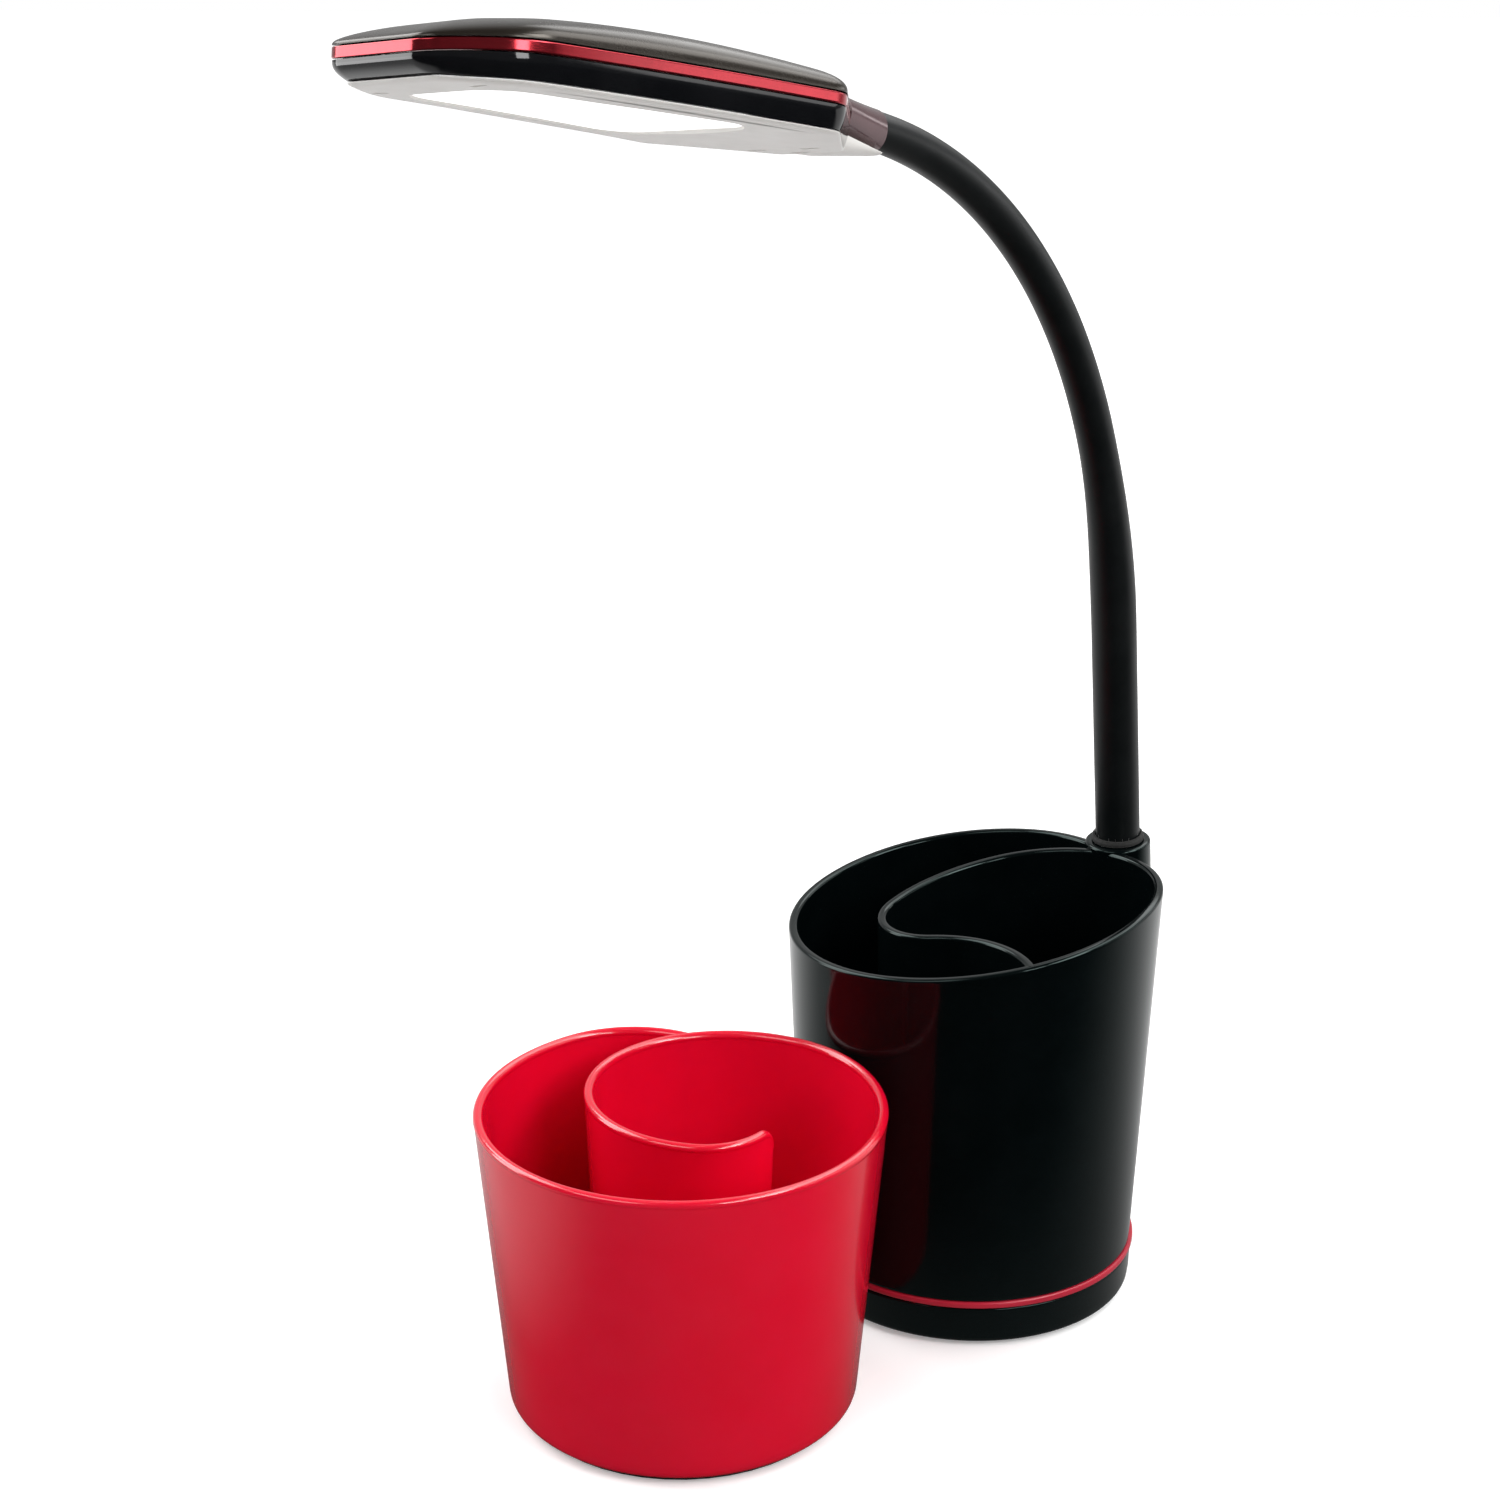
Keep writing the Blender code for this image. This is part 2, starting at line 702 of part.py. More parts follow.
def make_neck():
    rubber = add_material("neck rubber", BLACK, 0.55)
    empties = []
    for k in range(LINK_COUNT):
        point, tangent = on_neck(joint_length(k))
        bends_in_plane = k % 2 == 0
        axis = NECK_SIDE if bends_in_plane else tangent.cross(NECK_SIDE)
        frame = Matrix.Translation(point) @ tangent_frame(tangent, axis)
        empties.append(add_empty(f"neck_joint_{k + 1}", frame, empties[-1] if empties else None))
    root_radius = STEM_RADIUS - FERRULE_WALL
    top_radius = link_radius(STEM_LENGTH)
    rings = [(*on_neck(-SOCKET_DEPTH + SEAT_GAP), root_radius), (*on_neck(0), root_radius)]
    rings.append((*on_neck(0), STEM_RADIUS))
    rings.append((*on_neck(STEM_SHOULDER / 2), STEM_RADIUS))
    shoulder = STEM_LENGTH - STEM_SHOULDER
    for share in (0.0, 0.3, 0.6, 0.85):
        ease = (1 - math.cos(math.pi * share)) / 2
        radius = STEM_RADIUS + (top_radius - STEM_RADIUS) * ease
        rings.append((*on_neck(STEM_SHOULDER + shoulder * share), radius))
    ring_loft("neck_stem", rings + dome_rings(STEM_LENGTH, top_radius), rubber)
    for k in range(LINK_COUNT):
        start, end = joint_length(k), joint_length(k + 1)
        rings = hollow_rings(start, link_radius(start))
        count = max(2, round((end - start) / RING_SPACING))
        for step in range(1, count):
            length = start + (end - start) * step / count
            rings.append((*on_neck(length), link_radius(length)))
        if k < LINK_COUNT - 1:
            rings += dome_rings(end, link_radius(end))
        else:
            rings.append((on_neck(end)[0], HEAD_ALONG, link_radius(end)))
        ring_loft(f"neck_link_{k + 1}", rings, rubber, empties[k])
    ferrule_inner = root_radius + SEAT_GAP
    depth = SOCKET_DEPTH - SEAT_GAP
    place = socket_place(0)
    turned(
        "neck_ferrule",
        [
            (STEM_RADIUS, -2 * SEAT_GAP), (STEM_RADIUS, -depth),
            (ferrule_inner, -depth), (ferrule_inner, -2 * SEAT_GAP),
        ],
        add_material("ferrule steel", STEEL, 0.4, 1.0),
        SMALL_STEPS,
        place,
    )
    collar_bottom = SOCKET_TOP - NECK_START + SEAT_GAP
    turned(
        "neck_collar",
        [
            (STEM_RADIUS + 3 * SEAT_GAP, collar_bottom + COLLAR_HEIGHT),
            (COLLAR_RADIUS, collar_bottom + COLLAR_HEIGHT / 2),
            (COLLAR_RADIUS, collar_bottom),
            (STEM_RADIUS + SEAT_GAP, collar_bottom),
            (STEM_RADIUS + SEAT_GAP, collar_bottom + COLLAR_HEIGHT),
        ],
        add_material("collar rubber", BLACK, 0.35),
        24,
        place,
    )
    return empties


def tangent_frame(tangent, axis):
    across = tangent.cross(axis)
    return Matrix((
        (axis.x, across.x, tangent.x, 0),
        (axis.y, across.y, tangent.y, 0),
        (axis.z, across.z, tangent.z, 0),
        (0, 0, 0, 1),
    ))


def socket_place(length):
    """A frame on the neck's middle line, its Z along the neck."""
    point, tangent = on_neck(length)
    return Matrix.Translation(point) @ tangent_frame(tangent, NECK_SIDE)


def make_pot():
    curl = [(POT_RADIUS * share, turn) for share, turn in zip(POT_CURL_SHARES, POT_CURL_TURNS)]
    stations = spiral_plan(
        POT_RADIUS, POT_RADIUS * POT_ENTRY_SHARE, POT_ENTRY_ANGLE, POT_JOIN_ANGLE, POT_LEAVE_ANGLE, curl
    )

    def levels(station):
        return POT_BOTTOM + POT_FLOOR / 2, rim_level(station.x, station.y)

    def plan_share(height, top):
        return base_radius(height) / base_radius(top)

    gloss = add_material("pot plastic", BLACK, 0.12)
    pot = wall_sweep("base_pot", stations, rounded_top(POT_WALL / 2), levels, plan_share, gloss)
    floor_radius = base_radius(POT_BOTTOM) - SEAT_GAP
    floor = cylinder("pot_floor", floor_radius, POT_BOTTOM, POT_FLOOR_TOP, None, (0, 0), ROUND_STEPS)
    combine(pot, floor, "UNION", True)
    socket = make_socket()
    combine(pot, socket, "UNION")
    bore_radius = STEM_RADIUS + SEAT_GAP
    bore = turned(
        "socket_bore",
        [
            (0, OVERRUN), (bore_radius, OVERRUN), (bore_radius, -SOCKET_DEPTH), (0, -SOCKET_DEPTH),
        ],
        None,
        SMALL_STEPS,
        socket_place(0),
    )
    combine(pot, bore, "DIFFERENCE")
    return pot


def make_socket():
    """The round socket behind the pot's wall, running out below into the wall."""
    top = (SOCKET_TOP - NECK_START) / math.cos(NECK_LEAN)
    head, tangent = on_neck(top)
    foot, _ = on_neck(-SOCKET_FOOT_DROP)
    tail_level = foot.z - SOCKET_TAIL_DROP
    bearing = math.atan2(foot.y, foot.x)
    tail_reach = base_radius(tail_level) - POT_WALL - SOCKET_RADIUS
    tail = Vector((*on_bearing(bearing, tail_reach), tail_level))
    rings = [
        (head, tangent, SOCKET_RADIUS),
        (foot, tangent, SOCKET_RADIUS),
        (tail, Vector((0, 0, 1)), SOCKET_TAIL_RADIUS),
    ]
    return ring_loft("neck_socket", rings, None, None, 24)


def fillet_outline(corners, steps):
    """A closed outline with each corner (x, y, rounding) replaced by an arc of that radius."""
    points = []
    count = len(corners)
    for k in range(count):
        here = Vector(corners[k][:2])
        before = (Vector(corners[k - 1][:2]) - here).normalized()
        after = (Vector(corners[(k + 1) % count][:2]) - here).normalized()
        half = math.acos(max(-1.0, min(1.0, before.dot(after)))) / 2
        rounding = corners[k][2]
        centre = here + (before + after).normalized() * (rounding / math.sin(half))
        start = here + before * (rounding / math.tan(half)) - centre
        end = here + after * (rounding / math.tan(half)) - centre
        first = math.atan2(start.y, start.x)
        sweep = (math.atan2(end.y, end.x) - first + math.pi) % math.tau - math.pi
        for step in range(steps + 1):
            angle = first + sweep * step / steps
            points.append(centre + Vector((math.cos(angle), math.sin(angle))) * rounding)
    return points


def mirrored_corners(near_side):
    """Corners of a symmetric outline, from its near side's corners, tail to tip."""
    far_side = [(x, -y, rounding) for x, y, rounding in reversed(near_side)]
    return near_side + far_side


def inset_outline(points, inset):
    """The outline moved inwards by a distance, each point along its own normal."""
    moved = []
    count = len(points)
    area = sum(points[k - 1].x * points[k].y - points[k].x * points[k - 1].y for k in range(count))
    hand = math.copysign(1, area)
    for k in range(count):
        along = points[(k + 1) % count] - points[k - 1]
        normal = Vector((-along.y, along.x)).normalized() * hand
        moved.append(points[k] + normal * inset)
    return moved


HEAD_OUTLINE = fillet_outline(
    mirrored_corners([
        (HEAD_TAIL, HEAD_TAIL_HALF, TAIL_ROUNDING),
        (HEAD_SHOULDER, HEAD_SHOULDER_HALF, SHOULDER_ROUNDING),
        (HEAD_CORNER, HEAD_CORNER_HALF, CORNER_ROUNDING),
        (HEAD_LENGTH, HEAD_TIP_HALF, TIP_ROUNDING),
    ]),
    5,
)


def panel_outline(grow):
    near_side = [
        (PANEL_START - grow, PANEL_START_HALF + grow, PANEL_ROUNDING),
        (PANEL_END + grow, PANEL_END_HALF + grow, PANEL_ROUNDING),
    ]
    return fillet_outline(mirrored_corners(near_side), 4)


def arched(u, w):
    """A height in the head after its slight arch, which drops both its ends."""
    from_centre = (u - HEAD_ARCH_CENTRE) / HEAD_ARCH_CENTRE
    return w - HEAD_ARCH * from_centre ** 2


def crown_share(u):
    """How much of the crown's full height it keeps at u; it thins out toward both ends."""
    middle = (HEAD_TAIL + HEAD_LENGTH) / 2
    from_middle = (u - middle) / (HEAD_LENGTH - middle)
    return 1 - (1 - CROWN_END_SHARE) * from_middle ** 2


def head_point(point, w):
    return Vector((point.x, point.y, arched(point.x, w)))


def loop_faces(start, after, count):
    return [
        (start + k, start + (k + 1) % count, after + (k + 1) % count, after + k) for k in range(count)
    ]


def stacked(name, loops, material, parent):
    """A solid through a stack of closed loops of equal length, capped at both ends."""
    count = len(loops[0])
    points = [point for loop in loops for point in loop]
    faces = []
    for row in range(len(loops) - 1):
        faces += loop_faces(row * count, (row + 1) * count, count)
    faces.append(tuple(reversed(range(count))))
    faces.append(tuple((len(loops) - 1) * count + k for k in range(count)))
    return add_solid(name, points, faces, material, parent)


def domed_shell(name, outer, inner, material, parent):
    """A shell between outer and inner loops that both close on the spine, joined along their first loops."""
    count = len(outer[0])
    points = [point for loop in outer + inner for point in loop]
    faces = loop_faces(0, len(outer) * count, count)
    for row in range(len(outer) - 1):
        faces += loop_faces(row * count, (row + 1) * count, count)
        inner_row = len(outer) + row
        faces += loop_faces(inner_row * count, (inner_row + 1) * count, count)
    return add_solid(name, points, faces, material, parent)


def ring_stack(name, outer, inner, material, parent):
    """A closed ring between outer loops, bottom to top, and inner loops, top to bottom."""
    loops = outer + inner
    count = len(loops[0])
    points = [point for loop in loops for point in loop]
    faces = []
    for row in range(len(loops)):
        faces += loop_faces(row * count, (row + 1) % len(loops) * count, count)
    return add_solid(name, points, faces, material, parent)


def toward_spine(point, share):
    spine_u = min(max(point.x, SPINE_START), SPINE_END)
    return Vector((point.x + (spine_u - point.x) * share, point.y * (1 - share)))


def make_head(last_joint):
    end, _ = on_neck(NECK_LENGTH)
    along = HEAD_ALONG
    level_up = along.cross(NECK_SIDE)
    near = NECK_SIDE * math.cos(HEAD_ROLL) + level_up * math.sin(HEAD_ROLL)
    top = along.cross(near)
    world = Matrix.Translation(end + along * SEAT_GAP) @ Matrix((
        (along.x, near.x, top.x, 0),
        (along.y, near.y, top.y, 0),
        (along.z, near.z, top.z, 0),
        (0, 0, 0, 1),
    ))
    frame = add_empty("head_frame", world, last_joint)
    stripe_bottom = STRIPE_LEVEL - STRIPE_HEIGHT / 2
    stripe_top = STRIPE_LEVEL + STRIPE_HEIGHT / 2
    crown_bottom = stripe_top + SEAT_GAP
    side_top = stripe_bottom - SEAT_GAP
    side_bottom = side_top - SIDE_HEIGHT
    tray_top = side_bottom - SEAT_GAP
    tray_bottom = tray_top - TRAY_HEIGHT

    crowns = []
    for outline, height in (
        (HEAD_OUTLINE, CROWN_HEIGHT),
        (inset_outline(HEAD_OUTLINE, CROWN_WALL), CROWN_HEIGHT - CROWN_WALL),
    ):
        loops = []
        for share, rise in CROWN_SHARES:
            loop = [toward_spine(point, share) for point in outline]
            loops.append([
                head_point(point, crown_bottom + height * rise * crown_share(point.x)) for point in loop
            ])
        crowns.append(loops)
    domed_shell("head_top_shell", *crowns, add_material("shell plastic", BLACK, 0.12), frame)

    inner = inset_outline(HEAD_OUTLINE, STRIPE_DEPTH)
    ring_stack(
        "head_stripe",
        [[head_point(point, w) for point in HEAD_OUTLINE] for w in (stripe_bottom, stripe_top)],
        [[head_point(point, w) for point in inner] for w in (stripe_top, stripe_bottom)],
        add_material("stripe plastic", RED, 0.25),
        frame,
    )

    side_outer, side_inner = [], []
    for share, fall in SIDE_SHARES:
        w = side_top - SIDE_HEIGHT * fall
        outer = inset_outline(HEAD_OUTLINE, SIDE_TUCK * share)
        side_outer.append([head_point(point, w) for point in outer])
        side_inner.append([head_point(point, w) for point in inset_outline(outer, SIDE_WALL)])
    ring_stack(
        "head_side_shell", side_outer, list(reversed(side_inner)),
        add_material("side plastic", BLACK, 0.1), frame,
    )
    make_tray(frame, tray_top, tray_bottom)
    make_panel(frame, tray_bottom)
    make_sleeve(frame, tray_bottom, crown_bottom)
    return frame


def make_tray(frame, tray_top, tray_bottom):
    """The pale underside: a shallow dish with an opening for the diffuser."""
    loops = []
    for share, fall in TRAY_SHARES:
        outline = inset_outline(HEAD_OUTLINE, SIDE_TUCK + TRAY_TUCK * share)
        loops.append([head_point(point, tray_top - (tray_top - tray_bottom) * fall) for point in outline])
    tray = stacked(
        "head_tray", list(reversed(loops)), add_material("tray plastic", PALE_GREY, 0.4), frame,
    )
    opening = panel_outline(SEAT_GAP)
    hole = stacked(
        "panel_opening",
        [
            [head_point(point, tray_bottom - OVERRUN) for point in opening],
            [head_point(point, tray_top + OVERRUN) for point in opening],
        ],
        None, frame,
    )
    combine(tray, hole, "DIFFERENCE")
    make_tongue(frame, tray, tray_bottom)
    make_slots(frame, tray, tray_bottom)


def make_slots(frame, tray, tray_bottom):
    """Four short, shallow slots across the underside: two beyond the diffuser's tip, two near the tail."""
    for end, u, out, length in (
        ("tip", HEAD_LENGTH - TIP_SLOT_SETBACK, TIP_SLOT_OUT, TIP_SLOT_LENGTH),
        ("tail", TAIL_SLOT_START, TAIL_SLOT_OUT, TAIL_SLOT_LENGTH),
    ):
        for number, hand in ((1, 1), (2, -1)):
            low, high = sorted((hand * (out - length / 2), hand * (out + length / 2)))
            far = u + SLOT_WIDTH
            corners = [Vector(pair) for pair in ((u, low), (far, low), (far, high), (u, high))]
            slot = stacked(
                f"{end}_slot_{number}",
                [
                    [head_point(point, tray_bottom - OVERRUN) for point in corners],
                    [head_point(point, tray_bottom + SLOT_DEPTH) for point in corners],
                ],
                None, frame,
            )
            combine(tray, slot, "DIFFERENCE")


def make_panel(frame, tray_bottom):
    """The diffuser in the tray, and the light guide, reflector, strips and heat plate stacked on it."""
    face = tray_bottom + PANEL_RECESS
    flange_bottom = tray_bottom + TRAY_HEIGHT + SEAT_GAP
    flange_top = flange_bottom + PANEL_FLANGE_HEIGHT
    window = panel_outline(0)
    flange = panel_outline(PANEL_FLANGE)
    stacked(
        "diffuser",
        [
            [head_point(point, face) for point in window],
            [head_point(point, flange_bottom) for point in window],
            [head_point(point, flange_bottom) for point in flange],
            [head_point(point, flange_top) for point in flange],
        ],
        add_material("diffuser", WHITE, 0.3), frame,
    )
    guide_bottom = flange_top + SEAT_GAP
    guide_top = guide_bottom + GUIDE_THICKNESS
    clear = add_material("light guide", WHITE, 0.1)
    plate_layer("light_guide", window, guide_bottom, guide_top, clear, frame)
    reflector_bottom = guide_top + SEAT_GAP
    reflector_top = reflector_bottom + REFLECTOR_THICKNESS
    plate_layer(
        "reflector", flange, reflector_bottom, reflector_top, add_material("reflector", WHITE, 0.5), frame
    )
    plate_bottom = reflector_top + SEAT_GAP
    plate_layer(
        "heat_plate", flange, plate_bottom, plate_bottom + HEAT_PLATE_THICKNESS,
        add_material("heat plate", STEEL, 0.5, 1.0), frame,
    )
    strip_start = PANEL_START + PANEL_ROUNDING
    strip_end = PANEL_END - PANEL_ROUNDING
    slope = (PANEL_END_HALF - PANEL_START_HALF) / (PANEL_END - PANEL_START)
    board = add_material("led board", WHITE, 0.45)
    for number, hand in ((1, 1), (2, -1)):
        corners = []
        for u, out in ((strip_start, 0), (strip_end, 0), (strip_end, 1), (strip_start, 1)):
            half = PANEL_START_HALF + slope * (u - PANEL_START) + SEAT_GAP + LED_STRIP_WIDTH * out
            corners.append(Vector((u, hand * half)))
        plate_layer(f"led_strip_{number}", corners, guide_bottom, guide_top, board, frame)


def plate_layer(name, outline, bottom, top, material, frame):
    """A flat layer of the head that follows its arch."""
    return stacked(
        name,
        [[head_point(point, bottom) for point in outline], [head_point(point, top) for point in outline]],
        material, frame,
    )


def oval(u, half, low, high, squareness, steps=24):
    """A rounded section across the head at u: half its width, and its lower and upper levels."""
    middle, reach = (low + high) / 2, (high - low) / 2
    points = []
    for k in range(steps):
        angle = math.tau * k / steps
        across, rise = math.cos(angle), math.sin(angle)
        points.append(Vector((
            u,
            half * math.copysign(abs(across) ** squareness, across),
            middle + reach * math.copysign(abs(rise) ** squareness, rise),
        )))
    return points


def tongue_level(u, tray_bottom):
    """The level of the tongue's upper face, which rises from the tray to just under the end of the neck."""
    root = arched(HEAD_TAIL, tray_bottom + TONGUE_THICKNESS)
    end = -SLEEVE_RADIUS - SEAT_GAP
    return end + (root - end) * u / HEAD_TAIL


def make_tongue(frame, tray, tray_bottom):
    """The tray's tongue, which runs below the sleeve to the neck."""
    inside = HEAD_TAIL + SIDE_TUCK + TRAY_TUCK + OVERRUN
    loops = []
    for u, half, top, thickness in (
        (TONGUE_START, TONGUE_START_HALF, tongue_level(TONGUE_START, tray_bottom), TONGUE_START_THICKNESS),
        (HEAD_TAIL, TONGUE_ROOT_HALF, tongue_level(HEAD_TAIL, tray_bottom), TONGUE_THICKNESS),
        (inside, TONGUE_ROOT_HALF, arched(inside, tray_bottom + TONGUE_THICKNESS), TONGUE_THICKNESS),
    ):
        bottom = top - thickness
        low_half = half - thickness
        loops.append([
            Vector((u, half, top)), Vector((u, half, (top + bottom) / 2)), Vector((u, low_half, bottom)),
            Vector((u, -low_half, bottom)), Vector((u, -half, (top + bottom) / 2)), Vector((u, -half, top)),
        ])
    combine(tray, stacked("tray_tongue", loops, None, frame), "UNION")


def make_sleeve(frame, tray_bottom, crown_bottom):
    """The glossy sleeve between the neck and the head."""
    end = HEAD_TAIL - SEAT_GAP
    crown = crown_bottom + CROWN_HEIGHT * SLEEVE_RISE_SHARE
    sections = []
    for share, squareness in ((0, 1.0), (0.5, 0.9), (1, 0.75)):
        u = end * share
        half = SLEEVE_RADIUS + (HEAD_TAIL_HALF - SEAT_GAP - SLEEVE_RADIUS) * share
        low = tongue_level(u, tray_bottom) + SEAT_GAP
        high = SLEEVE_RADIUS + (arched(HEAD_TAIL, crown) - SLEEVE_RADIUS) * share
        sections.append(oval(u, half, low, high, squareness))
    stacked("head_sleeve", sections, add_material("sleeve plastic", BLACK, 0.08), frame)


def make_cup():
    curl = [(CUP_RADIUS * share, turn) for share, turn in zip(CUP_CURL_SHARES, CUP_CURL_TURNS)]
    entry_radius = CUP_RADIUS * CUP_ENTRY_SHARE
    entry_angle = crossing_angle(
        on_bearing(CUP_JOIN_ANGLE, CUP_RADIUS - entry_radius), entry_radius,
        on_bearing(CUP_LEAVE_ANGLE, CUP_RADIUS - curl[0][0]), curl[0][0],
    )
    stations = spiral_plan(
        CUP_RADIUS, entry_radius, entry_angle, CUP_JOIN_ANGLE, CUP_LEAVE_ANGLE, curl
    )
    end = stations[-1]
    floor_bottom = CUP_FOOT_HEIGHT + SEAT_GAP
    taper = (CUP_RADIUS + CUP_WALL / 2 - CUP_BOTTOM_RADIUS) / (CUP_HEIGHT - floor_bottom)

    def levels(station):
        """The wall's bottom and top; the top rounds down over the curl's free end."""
        from_end = math.hypot(station.x - end.x, station.y - end.y)
        short = max(0.0, 1 - from_end / CUP_END_ROUNDING)
        drop = CUP_END_ROUNDING * (1 - math.sqrt(1 - short ** 2))
        return floor_bottom + CUP_EDGE_ROUNDING, CUP_HEIGHT - drop

    def plan_share(height, _):
        return 1 - taper * (CUP_HEIGHT - height) / CUP_RADIUS

    gloss = add_material("cup plastic", RED, 0.2)
    section = beaded_top(CUP_WALL / 2, CUP_BEAD)
    cup = wall_sweep("organiser_cup", stations, section, levels, plan_share, gloss)
    floor_radius = CUP_BOTTOM_RADIUS - SEAT_GAP
    profile = [(0, floor_bottom + CUP_FLOOR), (floor_radius, floor_bottom + CUP_FLOOR)]
    for turn in (0, 30, 60, 90):
        angle = math.radians(turn)
        profile.append((
            floor_radius - CUP_EDGE_ROUNDING * (1 - math.cos(angle)),
            floor_bottom + CUP_EDGE_ROUNDING * (1 - math.sin(angle)),
        ))
    floor = turned("cup_floor", profile + [(0, floor_bottom)], None)
    combine(cup, floor, "UNION", True)
    home = add_empty("cup_slide", Matrix.Translation((CUP_X, CUP_Y, 0)))
    cup.parent = home
    floor.parent = home
    foot = turned(
        "cup_foot",
        [
            (CUP_FOOT_RADIUS, CUP_FOOT_HEIGHT), (CUP_FOOT_RADIUS, 0),
            (CUP_FOOT_RADIUS - CUP_FOOT_WIDTH, 0), (CUP_FOOT_RADIUS - CUP_FOOT_WIDTH, CUP_FOOT_HEIGHT),
        ],
        add_material("foot rubber", BLACK, 0.7),
    )
    foot.parent = home


make_base()
make_pot()
NECK_JOINTS = make_neck()
make_head(NECK_JOINTS[-1])
make_cup()
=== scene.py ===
"""Looks for the desk lamp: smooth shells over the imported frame, their materials, a studio and the camera.

Metres, +Z up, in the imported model's frame. The base stands at the origin and the camera looks from -Y.
"""

import math

import bmesh
import bpy
from mathutils import Matrix, Vector


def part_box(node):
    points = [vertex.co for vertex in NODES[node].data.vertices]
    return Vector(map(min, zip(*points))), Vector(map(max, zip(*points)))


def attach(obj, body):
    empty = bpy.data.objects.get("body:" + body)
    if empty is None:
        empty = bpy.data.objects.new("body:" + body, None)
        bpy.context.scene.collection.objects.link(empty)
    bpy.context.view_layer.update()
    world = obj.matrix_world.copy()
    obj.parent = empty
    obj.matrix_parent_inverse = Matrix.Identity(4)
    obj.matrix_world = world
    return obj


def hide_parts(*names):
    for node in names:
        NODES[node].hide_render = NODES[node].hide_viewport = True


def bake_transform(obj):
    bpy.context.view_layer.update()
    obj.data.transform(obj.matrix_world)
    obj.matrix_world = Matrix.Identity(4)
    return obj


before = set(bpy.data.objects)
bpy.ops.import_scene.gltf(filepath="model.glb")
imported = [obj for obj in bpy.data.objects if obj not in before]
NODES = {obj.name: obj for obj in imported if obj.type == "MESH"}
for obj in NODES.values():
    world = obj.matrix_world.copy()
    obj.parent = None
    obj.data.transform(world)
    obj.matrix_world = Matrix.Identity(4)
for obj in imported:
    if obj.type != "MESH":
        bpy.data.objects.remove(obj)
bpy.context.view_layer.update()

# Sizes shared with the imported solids: base and pot
SEAT_GAP = 0.0003
BASE_RADIUS = 0.0485
BASE_TAPER = 0.0464
HOUSING_LIFT = 0.0010
HOUSING_HEIGHT = 0.0123
HOUSING_WALL = 0.0022
RING_BOTTOM = HOUSING_HEIGHT + SEAT_GAP
RING_TOP = RING_BOTTOM + 0.0020
RING_WIDTH = 0.0046
RING_PROUD = 0.0004
PLATEAU_RADIUS = BASE_RADIUS - RING_WIDTH - SEAT_GAP
POT_BOTTOM = RING_TOP + SEAT_GAP
POT_FLOOR = 0.0025
POT_WALL = 0.0026
RIM_HEIGHT = 0.1184
RIM_SLOPE_ACROSS = 0.156
RIM_SLOPE_BACK = 0.0355
POT_RADIUS = BASE_RADIUS + BASE_TAPER * RIM_HEIGHT - POT_WALL / 2
POT_ENTRY_SHARE = 0.8768
POT_ENTRY_ANGLE = math.radians(33.5)
POT_JOIN_ANGLE = math.radians(125)
POT_LEAVE_ANGLE = math.radians(-16.2)
POT_CURL_SHARES = (0.6699, 1.0286, 0.3530, 0.7003)
POT_CURL_TURNS = (125.4, 40.8, 107.4, -63.6)

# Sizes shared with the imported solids: socket and neck
STEM_RADIUS = 0.0065
SOCKET_RADIUS = STEM_RADIUS + 0.0031
SOCKET_TOP = RIM_HEIGHT + 0.0084
SOCKET_FOOT_DROP = 0.0420
SOCKET_TAIL_DROP = 0.0380
SOCKET_TAIL_RADIUS = 0.0030
NECK_START = RIM_HEIGHT + 0.0116
NECK_BEARING = math.radians(35.807)
NECK_REACH = BASE_RADIUS + BASE_TAPER * NECK_START - 0.003545
NECK_HEADING = math.radians(-134)
NECK_LEAN = math.radians(5.1)
NECK_BEND = math.radians(69)
NECK_BEND_POWER = 1.45
NECK_STRAIGHT = 0.0586
NECK_CURVED = 0.1925
STEM_LENGTH = 0.0930
LINK_RADIUS = 0.0054
LINK_END_RADIUS = 0.0050
LINK_COUNT = 6
PATH_STEP = 0.0005

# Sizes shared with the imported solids: head. Lengths run from the neck's end to the nose, and levels stand on
# the plane through the neck's end
HEAD_PITCH = math.radians(9.95)
HEAD_ROLL = math.radians(6.2)
HEAD_LENGTH = 0.1479
HEAD_TAIL = 0.0180
HEAD_TAIL_HALF = 0.0110
HEAD_ARCH = 0.0032
HEAD_ARCH_CENTRE = 0.1320
SPINE_START = 0.0500
SPINE_END = 0.1049
CROWN_HEIGHT = 0.0084
CROWN_END_SHARE = 0.37
CROWN_WALL = 0.0016
STRIPE_LEVEL = 0.0026
STRIPE_HEIGHT = 0.0026
STRIPE_DEPTH = 0.0024
SIDE_HEIGHT = 0.0053
SIDE_WALL = 0.0016
SIDE_TUCK = 0.0012
TRAY_HEIGHT = 0.0010
TRAY_TUCK = 0.0040
STRIPE_BOTTOM = STRIPE_LEVEL - STRIPE_HEIGHT / 2
STRIPE_TOP = STRIPE_LEVEL + STRIPE_HEIGHT / 2
CROWN_BOTTOM = STRIPE_TOP + SEAT_GAP
SIDE_TOP = STRIPE_BOTTOM - SEAT_GAP
SIDE_BOTTOM = SIDE_TOP - SIDE_HEIGHT
TRAY_TOP = SIDE_BOTTOM - SEAT_GAP
TRAY_BOTTOM = TRAY_TOP - TRAY_HEIGHT
PANEL_RECESS = 0.0003
SLOTS = ((0.1325, 0.0183, 0.0056), (0.0290, 0.0095, 0.0065))
SLOT_WIDTH = 0.0010
SLOT_DEPTH = 0.0005
SLEEVE_RADIUS = 0.0053
TONGUE_START = 0.0008
TONGUE_THICKNESS = 0.0010
TONGUE_START_THICKNESS = 0.0008
TONGUE_START_HALF = 0.0048
TONGUE_ROOT_HALF = 0.0086

